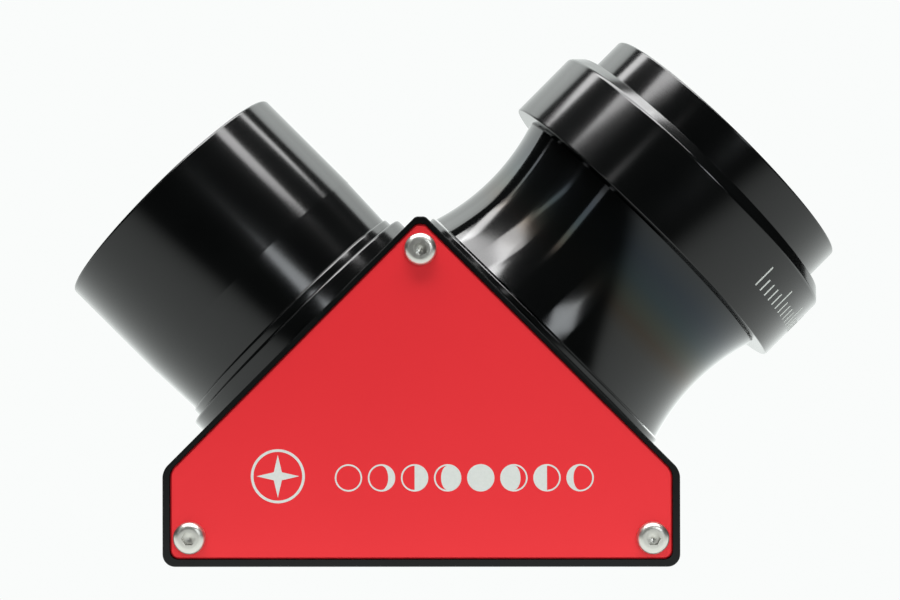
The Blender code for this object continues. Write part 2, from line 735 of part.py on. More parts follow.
def make_neck(shop):
    flange_base = FACE_DISTANCE + GAP
    flange_top = FACE_DISTANCE + NECK_FLANGE_HEIGHT
    stop_base = NECK_BASE + NECK_STOP_DEPTH - NECK_STOP_HEIGHT
    stop_top = NECK_BASE + NECK_STOP_DEPTH
    flange = NECK_END + NECK_FLANGE_LIP
    turned_ring(
        shop,
        "neck_seat_ring",
        [
            (SPIGOT_RADIUS, stop_base - GAP),
            (SPIGOT_RADIUS, flange_top),
            (flange - EDGE, flange_top),
            (flange, flange_top - EDGE),
            (flange, flange_base),
            (SPIGOT_RADIUS, flange_base),
            (SPIGOT_RADIUS, SPIGOT_FOOT),
        ],
        [
            (APERTURE + GAP, SPIGOT_FOOT),
            (APERTURE + GAP, stop_base - GAP),
        ],
        shop.black,
        shop.eyepiece_axis,
    )

    half = NECK_LENGTH / 2
    middle = NECK_BASE + half
    bend = (half * half + NECK_FLARE * NECK_FLARE) / (2 * NECK_FLARE)
    waist = []
    for step in range(ARC_STEPS + 1):
        rise = half * (1 - 2 * step / ARC_STEPS)
        flare = bend - math.sqrt(bend * bend - rise * rise)
        waist.append((NECK_WAIST + flare, middle + rise))
    thread = HOLDER_BORE + NECK_THREAD_WALL
    turned_ring(
        shop,
        "eyepiece_neck",
        [
            (thread, NECK_TOP + NECK_THREAD_LENGTH),
            (thread, NECK_TOP),
            *waist,
        ],
        [
            (SPIGOT_RADIUS + GAP, NECK_BASE),
            (SPIGOT_RADIUS + GAP, stop_base),
            (APERTURE + GAP, stop_base),
            (APERTURE + GAP, stop_top),
            (HOLDER_BORE, stop_top),
            (HOLDER_BORE, NECK_TOP + NECK_THREAD_LENGTH),
        ],
        shop.black,
        shop.eyepiece_axis,
    )


def split_band(shop, name, inner, outer, low, high, parent):
    """A compression ring: a brass band with a slot through it, on the side away from the screws."""
    band = turned_ring(
        shop, name, [(outer, high), (outer, low)], [(inner, low), (inner, high)], shop.brass, parent
    )
    slot = box_mesh(
        f"{name}_slot",
        (-BAND_SPLIT / 2, -outer - CUT, low - CUT),
        (BAND_SPLIT / 2, -inner / 2, high + CUT),
    )
    cut(band, shop.cutter(f"{name}_slot_cutter", slot, parent))


def radial_axis(shop, name, height, angle, parent):
    """An empty on the eyepiece axis whose Z points out to the rear, turned by the angle."""
    rotation = (-math.pi / 2, 0.0, -angle)
    return shop.empty(name, (0.0, 0.0, height), rotation, parent)


def make_thumbscrew(shop, name, axis, tip, surface, stud_radius, knob_radius, knob_length):
    """A stud along the axis from its tip, and a knob over its outer end, just clear of the surface."""
    base = surface + GAP
    neck = stud_radius + KNOB_NECK_WALL
    head = base + KNOB_NECK_LENGTH
    end = head + knob_length
    stud_end = base + KNOB_SOCKET - GAP
    turned_solid(
        shop,
        f"{name}_stud",
        [
            (0.0, stud_end),
            (stud_radius, stud_end),
            (stud_radius, tip + stud_radius / 3),
            (stud_radius * 2 / 3, tip),
            (0.0, tip),
        ],
        shop.steel,
        axis,
    )
    turned_solid(
        shop,
        f"{name}_knob",
        [
            (0.0, end),
            (knob_radius - KNOB_EDGE, end),
            (knob_radius, end - KNOB_EDGE),
            (knob_radius, head + KNOB_EDGE),
            (knob_radius - KNOB_EDGE, head),
            (neck, head),
            (neck, base),
            (stud_radius + GAP, base),
            (stud_radius + GAP, base + KNOB_SOCKET),
            (0.0, base + KNOB_SOCKET),
        ],
        shop.black,
        axis,
    )


def screw_hole(shop, name, obj, axis, inner, outer, radius):
    hole = cylinder_mesh(name, radius, inner, outer, SCREW_STEPS)
    cut(obj, shop.cutter(name, hole, axis))


def make_clamp(shop):
    parent = shop.eyepiece_axis
    thread = HOLDER_BORE + NECK_THREAD_WALL + GAP
    recess = NECK_TOP + NECK_THREAD_LENGTH + GAP
    groove = CLAMP_BAND_RADIUS + BAND_PLAY
    low = CLAMP_MIDDLE - CLAMP_BAND_HEIGHT / 2
    high = CLAMP_MIDDLE + CLAMP_BAND_HEIGHT / 2
    ring = turned_ring(
        shop,
        "clamp_ring",
        [
            (CLAMP_RADIUS - CLAMP_CHAMFER, CLAMP_TOP),
            (CLAMP_RADIUS, CLAMP_TOP - CLAMP_CHAMFER),
            (CLAMP_RADIUS, CLAMP_BASE + CLAMP_EDGE),
            (CLAMP_RADIUS - CLAMP_EDGE, CLAMP_BASE),
        ],
        [
            (thread, CLAMP_BASE),
            (thread, recess),
            (HOLDER_BORE, recess),
            (HOLDER_BORE, low - GAP),
            (groove, low - GAP),
            (groove, high + GAP),
            (HOLDER_BORE, high + GAP),
            (HOLDER_BORE, CLAMP_TOP - MOUTH_EDGE),
            (HOLDER_BORE + MOUTH_EDGE, CLAMP_TOP),
        ],
        shop.black,
        parent,
    )
    band = "clamp_compression_ring"
    split_band(shop, band, HOLDER_BORE, CLAMP_BAND_RADIUS, low, high, parent)

    for side, angle in (("left", -THUMBSCREW_SPREAD), ("right", THUMBSCREW_SPREAD)):
        name = f"clamp_screw_{side}"
        axis = radial_axis(shop, f"{name}_axis", CLAMP_MIDDLE, angle, parent)
        hole = CLAMP_STUD_RADIUS + GAP
        inner = HOLDER_BORE
        screw_hole(shop, f"{name}_hole_cutter", ring, axis, inner, CLAMP_RADIUS + CUT, hole)
        make_thumbscrew(
            shop,
            name,
            axis,
            CLAMP_BAND_RADIUS + GAP,
            CLAMP_RADIUS,
            CLAMP_STUD_RADIUS,
            CLAMP_KNOB_RADIUS,
            CLAMP_KNOB_LENGTH,
        )


def make_adapter(shop):
    parent = shop.eyepiece_axis
    foot = ADAPTER_BASE - ADAPTER_REACH
    under_low = CLAMP_MIDDLE - CLAMP_BAND_HEIGHT / 2 - ADAPTER_UNDERCUT_MARGIN
    under_high = CLAMP_MIDDLE + CLAMP_BAND_HEIGHT / 2 + ADAPTER_UNDERCUT_MARGIN
    under = BARREL_RADIUS - ADAPTER_UNDERCUT
    groove = ADAPTER_BAND_RADIUS + BAND_PLAY
    low = ADAPTER_MIDDLE - ADAPTER_BAND_HEIGHT / 2
    high = ADAPTER_MIDDLE + ADAPTER_BAND_HEIGHT / 2
    body = turned_ring(
        shop,
        "adapter_body",
        [
            (ADAPTER_RADIUS - ADAPTER_EDGE, ADAPTER_TOP),
            (ADAPTER_RADIUS, ADAPTER_TOP - ADAPTER_EDGE),
            (ADAPTER_RADIUS, ADAPTER_BASE + ADAPTER_EDGE),
            (ADAPTER_RADIUS - ADAPTER_EDGE, ADAPTER_BASE),
            (BARREL_RADIUS, ADAPTER_BASE),
            (BARREL_RADIUS, under_high),
            (under, under_high - ADAPTER_UNDERCUT),
            (under, under_low + ADAPTER_UNDERCUT),
            (BARREL_RADIUS, under_low),
            (BARREL_RADIUS, foot + ADAPTER_EDGE),
            (BARREL_RADIUS - ADAPTER_EDGE, foot),
        ],
        [
            (FILTER_RADIUS, foot),
            (FILTER_RADIUS, foot + FILTER_DEPTH),
            (ADAPTER_BORE, foot + FILTER_DEPTH),
            (ADAPTER_BORE, low - GAP),
            (groove, low - GAP),
            (groove, high + GAP),
            (ADAPTER_BORE, high + GAP),
            (ADAPTER_BORE, ADAPTER_TOP - MOUTH_EDGE),
            (ADAPTER_BORE + MOUTH_EDGE, ADAPTER_TOP),
        ],
        shop.black,
        parent,
    )
    band = "adapter_compression_ring"
    split_band(shop, band, ADAPTER_BAND_INNER, ADAPTER_BAND_RADIUS, low, high, parent)

    name = "adapter_screw"
    axis = radial_axis(shop, f"{name}_axis", ADAPTER_MIDDLE, 0.0, parent)
    hole = ADAPTER_STUD_RADIUS + GAP
    screw_hole(
        shop, f"{name}_hole_cutter", body, axis, ADAPTER_BAND_INNER, ADAPTER_RADIUS + CUT, hole
    )
    make_thumbscrew(
        shop,
        name,
        axis,
        ADAPTER_BAND_RADIUS + GAP,
        ADAPTER_RADIUS,
        ADAPTER_STUD_RADIUS,
        ADAPTER_KNOB_RADIUS,
        ADAPTER_KNOB_LENGTH,
    )


def main():
    clear_scene()
    shop = Workshop()
    make_housing(shop)
    make_side_plates(shop)
    make_plate_screws(shop)
    make_mirror_cell(shop)
    make_mirror(shop)
    make_mirror_clips(shop)
    make_nose(shop)
    make_neck(shop)
    make_clamp(shop)
    make_adapter(shop)


main()
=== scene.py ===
# %% [markdown]
# # A star diagonal, turned, milled and lit
#
# A star diagonal sits between a telescope and its eyepiece and folds the light through ninety
# degrees. Nearly every piece of the real one comes off a lathe or a mill, so nearly every piece
# here is a profile that is spun, or an outline that is extruded and cut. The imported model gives
# each piece its place and size. This lesson makes the fine surface that goes around it.

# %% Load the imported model
import json
import math

import bmesh
import bpy
from mathutils import Matrix, Vector


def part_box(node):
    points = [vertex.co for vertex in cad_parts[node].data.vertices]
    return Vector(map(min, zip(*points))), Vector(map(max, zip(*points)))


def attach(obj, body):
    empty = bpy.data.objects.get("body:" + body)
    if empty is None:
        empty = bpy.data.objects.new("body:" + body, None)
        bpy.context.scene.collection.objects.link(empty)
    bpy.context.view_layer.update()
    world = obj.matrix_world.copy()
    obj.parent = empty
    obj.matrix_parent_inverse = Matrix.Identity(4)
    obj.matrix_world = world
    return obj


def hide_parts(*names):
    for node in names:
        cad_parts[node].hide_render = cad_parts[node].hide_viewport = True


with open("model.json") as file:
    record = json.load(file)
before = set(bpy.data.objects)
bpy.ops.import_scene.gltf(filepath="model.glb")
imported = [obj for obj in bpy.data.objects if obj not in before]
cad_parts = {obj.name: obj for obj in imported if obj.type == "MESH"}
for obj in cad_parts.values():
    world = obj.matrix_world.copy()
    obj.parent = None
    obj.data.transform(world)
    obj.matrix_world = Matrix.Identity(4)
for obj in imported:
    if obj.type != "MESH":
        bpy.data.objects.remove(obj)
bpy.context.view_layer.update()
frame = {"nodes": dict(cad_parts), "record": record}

MM = 0.001
SEAM = 0.06  # the gap between two pieces that are screwed together, in millimetres
scene = bpy.context.scene

# %% [markdown]
# ## Where things are
#
# The two optical axes cross on the face of the mirror. One runs up to the left, to the nose, and
# one up to the right, to the eyepiece. A matrix for each of them lets a turned piece be drawn
# upright, with its radius along X and its height along Z, and then be set on its axis in one move.

# %% The two axes and what each node rides on
MIDDLE = Matrix()
crossing = Vector((0.0, 0.0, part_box("mirror")[1].z))
NOSE = Matrix.Translation(crossing) @ Matrix.Rotation(-math.pi / 4, 4, "Y")
EYEPIECE = Matrix.Translation(crossing) @ Matrix.Rotation(math.pi / 4, 4, "Y")
body_of = {}
for body, members in frame["record"]["behaviour"]["bodies"].items():
    for node in members:
        body_of[node] = body
print("the axes cross", round(crossing.z / MM, 2), "mm above the table")


# %% Measure a node along an axis
def reach(node, place):
    """Lowest and highest point of a node along an axis, and its largest radius, in millimetres."""
    upright = place.inverted()
    points = [upright @ vertex.co for vertex in frame["nodes"][node].data.vertices]
    heights = [point.z / MM for point in points]
    radius = max(math.hypot(point.x, point.y) for point in points) / MM
    return min(heights), max(heights), radius


FACE = reach("housing_body", NOSE)[1]
print("the slanting faces stand", round(FACE, 2), "mm from the crossing")

# %% [markdown]
# ## The camera
#
# A long lens a good arm's length away, level with the middle of the housing, keeps the two
# slanting axes at forty-five degrees in the picture, as a catalogue picture does.

# %% Camera
camera = bpy.data.objects.new("camera", bpy.data.cameras.new("camera"))
camera.data.lens = 85.82
camera.data.sensor_width = 36.0
camera.data.clip_start = 0.01
camera.data.clip_end = 20.0
roll = Matrix.Rotation(0.0123, 4, "Z") @ Matrix.Rotation(0.0019, 4, "Y")
camera.matrix_world = (
    Matrix.Translation((0.009793, -0.405818, 0.046769)) @ roll @ Matrix.Rotation(math.pi / 2, 4, "X")
)
scene.collection.objects.link(camera)
scene.camera = camera
print("the camera stands", round(-camera.location.y, 3), "m in front")

# %% [markdown]
# ## Finishes
#
# Black anodising on turned aluminium is a thin, hard, dyed glass. Its colour is nearly black, and
# what the eye reads is the reflection: a soft gloss that grows towards the rim. The tool leaves
# fine rings around the axis, which smear each reflection a little along the axis.


# %% Helpers for node trees
def new_finish(name, colour, roughness, metallic=0.0):
    """A material, with its tree and its shader, whose plain values are set on the shader itself."""
    finish = bpy.data.materials.new(name)
    finish.use_nodes = True
    tree = finish.node_tree
    shader = tree.nodes["Principled BSDF"]
    shader.inputs["Base Color"].default_value = (*colour, 1.0)
    shader.inputs["Roughness"].default_value = roughness
    shader.inputs["Metallic"].default_value = metallic
    finish.diffuse_color = (*colour, 1.0)
    return finish, tree, shader


def add(tree, kind, **settings):
    """A node of that kind. Names of sockets set their values, other names set the node itself."""
    node = tree.nodes.new(kind)
    for name, value in settings.items():
        socket = name.replace("_", " ")
        if socket in node.inputs:
            node.inputs[socket].default_value = value
        else:
            setattr(node, name, value)
    return node


def placed_on(tree, place):
    """Object coordinates seen from an axis: Z along it, X and Y across it, in metres."""
    coordinates = add(tree, "ShaderNodeTexCoord")
    mapping = add(tree, "ShaderNodeMapping")
    upright = place.inverted()
    mapping.inputs["Location"].default_value = upright.to_translation()
    mapping.inputs["Rotation"].default_value = upright.to_euler()
    tree.links.new(coordinates.outputs["Object"], mapping.inputs["Vector"])
    return mapping.outputs["Vector"]


def scaled(tree, vector, scale):
    stretch = add(tree, "ShaderNodeVectorMath", operation="MULTIPLY")
    stretch.inputs[1].default_value = scale
    tree.links.new(vector, stretch.inputs[0])
    return stretch.outputs["Vector"]


def noise(tree, vector, scale, detail=2.0, roughness=0.5):
    made = add(tree, "ShaderNodeTexNoise", Scale=scale, Detail=detail, Roughness=roughness)
    tree.links.new(vector, made.inputs["Vector"])
    return made.outputs["Fac"]


def between(tree, value, low, high):
    """Maps a value from 0..1 onto low..high."""
    ramp = add(tree, "ShaderNodeMapRange")
    ramp.inputs["To Min"].default_value = low
    ramp.inputs["To Max"].default_value = high
    tree.links.new(value, ramp.inputs["Value"])
    return ramp.outputs["Result"]


def blend_colours(tree, value, dark, light):
    ramp = add(tree, "ShaderNodeValToRGB")
    ramp.color_ramp.elements[0].color = (*dark, 1.0)
    ramp.color_ramp.elements[1].color = (*light, 1.0)
    tree.links.new(value, ramp.inputs["Fac"])
    return ramp.outputs["Color"]


def bumped(tree, shader, height, distance, strength=1.0):
    bump = add(tree, "ShaderNodeBump", Strength=strength, Distance=distance)
    tree.links.new(height, bump.inputs["Height"])
    tree.links.new(bump.outputs["Normal"], shader.inputs["Normal"])
    return bump


# %% Black anodising on turned aluminium
def around(tree, place):
    """The direction that the tool ran in at each point, round the axis."""
    centre = place.to_translation()
    axis = place.to_3x3() @ Vector((0.0, 0.0, 1.0))
    coordinates = add(tree, "ShaderNodeTexCoord")
    arm = add(tree, "ShaderNodeVectorMath", operation="SUBTRACT")
    arm.inputs[1].default_value = centre
    cross = add(tree, "ShaderNodeVectorMath", operation="CROSS_PRODUCT")
    cross.inputs[0].default_value = axis
    tree.links.new(coordinates.outputs["Object"], arm.inputs[0])
    tree.links.new(arm.outputs["Vector"], cross.inputs[1])
    return cross.outputs["Vector"]


def lathe_rings(tree, axis):
    """Distance from the axis and height along it, so that a noise on them runs in rings."""
    split = add(tree, "ShaderNodeSeparateXYZ")
    flat = add(tree, "ShaderNodeVectorMath", operation="LENGTH")
    joined = add(tree, "ShaderNodeCombineXYZ")
    tree.links.new(axis, split.inputs["Vector"])
    tree.links.new(scaled(tree, axis, (1.0, 1.0, 0.0)), flat.inputs[0])
    tree.links.new(flat.outputs["Value"], joined.inputs["X"])
    tree.links.new(split.outputs["Z"], joined.inputs["Z"])
    return joined.outputs["Vector"]


def turned_black(name, place, roughness=0.15, stretch=0.35, ridge=0.000002):
    finish, tree, shader = new_finish(name, (0.0018, 0.002, 0.002), roughness)
    axis = placed_on(tree, place)
    rings = noise(tree, lathe_rings(tree, axis), 2600.0, 1.0)
    patches = noise(tree, axis, 90.0, 3.0)
    tree.links.new(
        blend_colours(tree, patches, (0.0012, 0.0014, 0.0014), (0.0024, 0.0027, 0.0027)),
        shader.inputs["Base Color"],
    )
    tree.links.new(
        between(tree, patches, roughness - 0.02, roughness + 0.02), shader.inputs["Roughness"]
    )
    bumped(tree, shader, rings, ridge)
    shader.inputs["IOR"].default_value = 1.5
    shader.inputs["Anisotropic"].default_value = stretch
    shader.inputs["Anisotropic Rotation"].default_value = 0.25
    tree.links.new(around(tree, place), shader.inputs["Tangent"])
    return finish


nose_black = turned_black("nose_black", NOSE)
eyepiece_black = turned_black("eyepiece_black", EYEPIECE)


# %% [markdown]
# ### The neck
#
# The neck is a deep cove cut with a fine feed. Its grooves act as a weak grating, so a streak on it
# is long and has faint colours. A full anisotropy stretches the streak, and a ramp along the axis
# tints the gloss, which is simpler than a real grating and close to what the eye sees.

# %% The neck's finish, with a faint rainbow
def neck_finish():
    """The cove is cut with a fine feed that stretches each streak and splits its colours."""
    finish = turned_black("neck_black", EYEPIECE, 0.1, 1.0)
    tree = finish.node_tree
    shader = tree.nodes["Principled BSDF"]
    split = add(tree, "ShaderNodeSeparateXYZ")
    tree.links.new(placed_on(tree, EYEPIECE), split.inputs["Vector"])
    along = add(tree, "ShaderNodeMapRange")
    along.inputs["From Min"].default_value = 0.036
    along.inputs["From Max"].default_value = 0.058
    tree.links.new(split.outputs["Z"], along.inputs["Value"])
    rainbow = add(tree, "ShaderNodeValToRGB")
    tints = [
        (0.0, (1.0, 1.0, 1.0)), (0.2, (1.0, 0.98, 0.95)), (0.34, (1.0, 0.84, 0.68)),
        (0.46, (0.9, 0.98, 0.82)), (0.6, (0.7, 0.93, 1.0)), (0.76, (0.7, 0.84, 1.0)),
        (1.0, (0.95, 0.98, 1.0)),
    ]
    ramp = rainbow.color_ramp
    for place, tint in tints[1:-1]:
        ramp.elements.new(place).color = (*tint, 1.0)
    ramp.elements[0].color = (*tints[0][1], 1.0)
    ramp.elements[-1].color = (*tints[-1][1], 1.0)
    tree.links.new(along.outputs["Result"], rainbow.inputs["Fac"])
    tree.links.new(rainbow.outputs["Color"], shader.inputs["Specular Tint"])
    return finish


neck_black = neck_finish()


# %% [markdown]
# ### The milled housing
#
# A mill leaves no rings, and the block is blasted before it is dyed. So it has an even grain, more
# roughness and a weaker gloss than the turned pieces.

# %% Black anodising on the milled housing
def milled_black():
    finish, tree, shader = new_finish("housing_black", (0.004, 0.0045, 0.0045), 0.24)
    place = placed_on(tree, MIDDLE)
    grain = noise(tree, place, 2600.0, 2.0)
    patches = noise(tree, place, 45.0, 3.0)
    tree.links.new(
        blend_colours(tree, patches, (0.0022, 0.0025, 0.0025), (0.0036, 0.0040, 0.0040)),
        shader.inputs["Base Color"],
    )
    tree.links.new(between(tree, grain, 0.22, 0.30), shader.inputs["Roughness"])
    shader.inputs["Specular IOR Level"].default_value = 0.24
    bumped(tree, shader, grain, 0.000002)
    return finish


housing_black = milled_black()


# %% [markdown]
# ### The side plates
#
# The plates are rolled sheet with a satin red dye. Light passes through the dye to the metal and
# back, so the red is deep and a little metallic. Slow clouds in the colour keep it from being flat.

# %% Red anodising on the side plates
def satin_red():
    finish, tree, shader = new_finish("plate_red", (0.79, 0.02, 0.028), 0.42, 0.25)
    place = placed_on(tree, MIDDLE)
    grain = noise(tree, place, 3200.0, 2.0)
    cloud = noise(tree, place, 35.0, 2.0)
    tree.links.new(
        blend_colours(tree, cloud, (0.77, 0.019, 0.027), (0.81, 0.022, 0.030)),
        shader.inputs["Base Color"],
    )
    tree.links.new(between(tree, grain, 0.37, 0.47), shader.inputs["Roughness"])
    bumped(tree, shader, grain, 0.000002)
    return finish


plate_red = satin_red()


# %% [markdown]
# ### Bare metals
#
# The screws are blasted stainless steel, the split rings brass and the clips spring steel. One
# function makes all three, because they differ only in colour and in how rough they are.

# %% Bare metals
def bare_metal(name, colour, roughness, grain_scale=1500.0):
    finish, tree, shader = new_finish(name, colour, roughness, 1.0)
    place = placed_on(tree, MIDDLE)
    grain = noise(tree, place, grain_scale, 3.0)
    darker = tuple(0.88 * channel for channel in colour)
    tree.links.new(blend_colours(tree, grain, darker, colour), shader.inputs["Base Color"])
    tree.links.new(
        between(tree, grain, roughness * 0.75, roughness * 1.25), shader.inputs["Roughness"]
    )
    bumped(tree, shader, grain, 0.000003)
    return finish


screw_steel = bare_metal("screw_steel", (0.72, 0.71, 0.66), 0.36)
band_brass = bare_metal("band_brass", (0.78, 0.56, 0.25), 0.22)
clip_steel = bare_metal("clip_steel", (0.55, 0.55, 0.54), 0.3)


# %% [markdown]
# ### Glass, rubber and marks
#
# The mirror is ground glass with one polished and silvered face, and it lies on silicone pads. The
# matt ones share a speckle, and the silvered face has a finish of its own.

# %% The mirror, its glass and its pads
def speckled(name, dark, light, roughness, scale, metallic=0.0):
    finish, tree, shader = new_finish(name, light, roughness, metallic)
    grain = noise(tree, placed_on(tree, MIDDLE), scale, 3.0)
    tree.links.new(blend_colours(tree, grain, dark, light), shader.inputs["Base Color"])
    bumped(tree, shader, grain, 0.000004)
    return finish


mirror_glass = speckled("mirror_glass", (0.30, 0.36, 0.35), (0.42, 0.48, 0.46), 0.45, 1800.0)
pad_grey = speckled("pad_grey", (0.16, 0.16, 0.17), (0.24, 0.24, 0.25), 0.7, 900.0)
mark_grey = speckled("mark_grey", (0.56, 0.58, 0.55), (0.66, 0.68, 0.65), 0.6, 2400.0)


def mirror_face():
    finish, tree, shader = new_finish("mirror_face", (0.9, 0.93, 0.95), 0.02, 1.0)
    cloud = noise(tree, placed_on(tree, MIDDLE), 30.0, 2.0)
    tree.links.new(
        blend_colours(tree, cloud, (0.88, 0.92, 0.95), (0.92, 0.93, 0.95)),
        shader.inputs["Base Color"],
    )
    return finish


mirror_coat = mirror_face()

# %% [markdown]
# ## Making a piece
#
# Every fine piece goes through the same door. It is set on its axis, its faces are turned
# outwards, and it then rides on its CAD node's body and stands for that node. Weighted normals
# keep the broad faces true, so a small rounded edge takes all of the bend in the shading.


# %% From a bmesh to a piece
def close_up(shape, place):
    """Merges the seam and the poles, sets the shape in place and turns its faces outwards."""
    bmesh.ops.remove_doubles(shape, verts=shape.verts, dist=0.001 * MM)
    bmesh.ops.transform(shape, matrix=place, verts=shape.verts)
    bmesh.ops.recalc_face_normals(shape, faces=shape.faces)
    for face in shape.faces:
        face.smooth = True


def as_object(shape, name):
    mesh = bpy.data.meshes.new(name)
    shape.to_mesh(mesh)
    shape.free()
    made = bpy.data.objects.new(name, mesh)
    scene.collection.objects.link(made)
    return made


def stand_in(shape, node, finish, place=MIDDLE, cutters=()):
    """A finished shape becomes the fine piece that stands for a CAD node."""
    close_up(shape, place)
    piece = as_object(shape, f"{node}_fine")
    piece.data.materials.append(finish)
    if cutters:
        cut_away(piece, cutters)
    shade(piece)
    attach(piece, body_of[node])
    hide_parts(node)
    print(node, "is made of", len(piece.data.polygons), "faces")
    return piece


def beside(shape, name, node, finish, place):
    """A fine piece that rides with a CAD node's body and stands for no node of its own."""
    close_up(shape, place)
    piece = as_object(shape, name)
    piece.data.materials.append(finish)
    shade(piece)
    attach(piece, body_of[node])
    return piece


def shade(piece, sharp=40.0):
    piece.data.set_sharp_from_angle(angle=math.radians(sharp))
    even = piece.modifiers.new("even shading", "WEIGHTED_NORMAL")
    even.keep_sharp = True


def cut_away(piece, cutters):
    """Cuts each bmesh in cutters out of the piece, and keeps the result as its mesh."""
    spent = []
    for number, cutter in enumerate(cutters):
        tool = as_object(cutter, f"cutter_{number}")
        boolean = piece.modifiers.new(tool.name, "BOOLEAN")
        boolean.object = tool
        boolean.solver = "EXACT"
        spent.append(tool)
    graph = bpy.context.evaluated_depsgraph_get()
    result = bpy.data.meshes.new_from_object(piece.evaluated_get(graph))
    piece.modifiers.clear()
    rough = piece.data
    piece.data = result
    result.name = piece.name
    bpy.data.meshes.remove(rough)
    for tool in spent:
        bpy.data.meshes.remove(tool.data)


# %% [markdown]
# ## Turned shapes
#
# On the lathe a piece is its profile. The corners of the profile are given as radius, height and
# how far the edge is broken. One face through them lets the bevel operator round each corner, and
# the edges of that face are then spun about the axis.


# %% Spin a profile
ROUND = 192


def turned(profile, steps=ROUND, angle=2 * math.pi, rounds=3):
    """A bmesh turned about Z from (radius, height, edge) corners in millimetres, in a closed loop."""
    shape = bmesh.new()
    corners = [shape.verts.new((radius * MM, 0.0, height * MM)) for radius, height, _ in profile]
    shape.faces.new(corners)
    for edge in sorted({corner[2] for corner in profile if corner[2]}):
        chosen = [vert for vert, corner in zip(corners, profile) if corner[2] == edge]
        bmesh.ops.bevel(
            shape, geom=chosen, offset=edge * MM, segments=rounds, profile=0.5,
            affect="VERTICES", material=-1, clamp_overlap=True,
        )
    bmesh.ops.delete(shape, geom=shape.faces[:], context="FACES_ONLY")
    on_axis = [e for e in shape.edges if all(v.co.x < 0.001 * MM for v in e.verts)]
    bmesh.ops.delete(shape, geom=on_axis, context="EDGES")
    whole = angle > 6.28
    bmesh.ops.spin(
        shape, geom=shape.verts[:] + shape.edges[:], cent=(0, 0, 0), axis=(0, 0, 1),
        angle=angle, steps=steps, use_merge=whole,
    )
    return shape


def rod(radius, low, high, steps=48, top=None):
    """A plain cylinder or cone along Z, in millimetres."""
    shape = bmesh.new()
    bmesh.ops.create_cone(
        shape, cap_ends=True, segments=steps, radius1=radius * MM,
        radius2=(radius if top is None else top) * MM, depth=(high - low) * MM,
    )
    bmesh.ops.translate(shape, verts=shape.verts, vec=(0, 0, (low + high) / 2 * MM))
    return shape


def moved(shape, matrix):
    bmesh.ops.transform(shape, matrix=matrix, verts=shape.verts)
    return shape


# %% [markdown]
# ## The nose
#
# The nose barrel slides into the telescope. It has a long land of the full two inches, a shallow
# undercut that keeps it from slipping out of its clamp, and a collar that screws down on the wide
# seat ring of the housing. Its mouth has a filter thread, and the bore behind it is ribbed
# against stray light.

# %% Nose sizes, from the frame
seat_foot, seat_top, seat_radius = reach("nose_seat_ring", NOSE)
_, barrel_tip, BARREL = reach("nose_barrel", NOSE)
APERTURE = BARREL - 2.5
FILTER = BARREL - 1.4
COLLAR = 1.7
UNDERCUT = (seat_top + COLLAR, seat_top + COLLAR + 10.0)
SPIGOT = 25.6  # radius of the thread by which a seat ring holds in the housing
SEAT_BORE = 23.3
GROOVE_PLAY = 0.3  # above and below a brass ring in its groove
GROOVE_DEPTH = 0.7  # behind a brass ring
print("nose barrel", round(2 * BARREL, 2), "mm across, seat ring", round(2 * seat_radius, 2))


# %% Ribs and threads
def ribs(radius, low, high, pitch, depth):
    """Corners of a row of V grooves up a bore of that radius, from low to high."""
    count = int((high - low) / pitch)
    corners = []
    for number in range(count):
        foot = low + number * pitch
        corners.append((radius, foot + 0.15 * pitch, 0))
        corners.append((radius + depth, foot + 0.5 * pitch, 0))
        corners.append((radius, foot + 0.85 * pitch, 0))
    return corners


def groove(bore, low, high, radius):
    """Corners of the groove for a brass ring of that height and radius, from low to high."""
    back = radius + GROOVE_DEPTH
    low -= GROOVE_PLAY
    high += GROOVE_PLAY
    return [(bore, low, 0.1), (back, low, 0), (back, high, 0), (bore, high, 0.1)]


# %% Seat ring of the nose
nose_seat = turned([
    (seat_radius, seat_top, 0.45),
    (seat_radius, FACE + SEAM, 0.1),
    (SPIGOT, FACE + SEAM, 0),
    (SPIGOT, seat_foot, 0.2),
    (SEAT_BORE, seat_foot, 0.2),
    (SEAT_BORE, seat_top, 0.2),
])
stand_in(nose_seat, "nose_seat_ring", nose_black, NOSE)

# %% Nose barrel
barrel_profile = [
    (BARREL, barrel_tip, 0.45),
    (BARREL, UNDERCUT[1], 0),
    (BARREL - 0.05, UNDERCUT[1] - 0.08, 0),
    (BARREL - 0.45, UNDERCUT[0] + 0.1, 0),
    (BARREL - 0.35, UNDERCUT[0], 0),
    (BARREL, UNDERCUT[0] - 0.05, 0.35),
    (BARREL, seat_top + SEAM, 0.15),
    (APERTURE, seat_top + SEAM, 0),
    *ribs(APERTURE, seat_top + 1.0, barrel_tip - 8.0, 0.9, 0.35),
    (APERTURE, barrel_tip - 7.5, 0),
    (FILTER, barrel_tip - 7.0, 0),
    *ribs(FILTER - 0.35, barrel_tip - 6.6, barrel_tip - 0.8, 0.75, 0.4),
    (FILTER - 0.3, barrel_tip - 0.5, 0),
    (FILTER + 0.2, barrel_tip, 0.05),
]
stand_in(turned(barrel_profile), "nose_barrel", nose_black, NOSE)
print(len(barrel_profile), "corners in the barrel's profile")

# %% [markdown]
# ## The eyepiece side
#
# The neck is one deep cove between a thin flange and the clamp ring. The clamp ring is the widest
# piece, with a broad bright chamfer, and the adapter for small eyepieces drops into it.

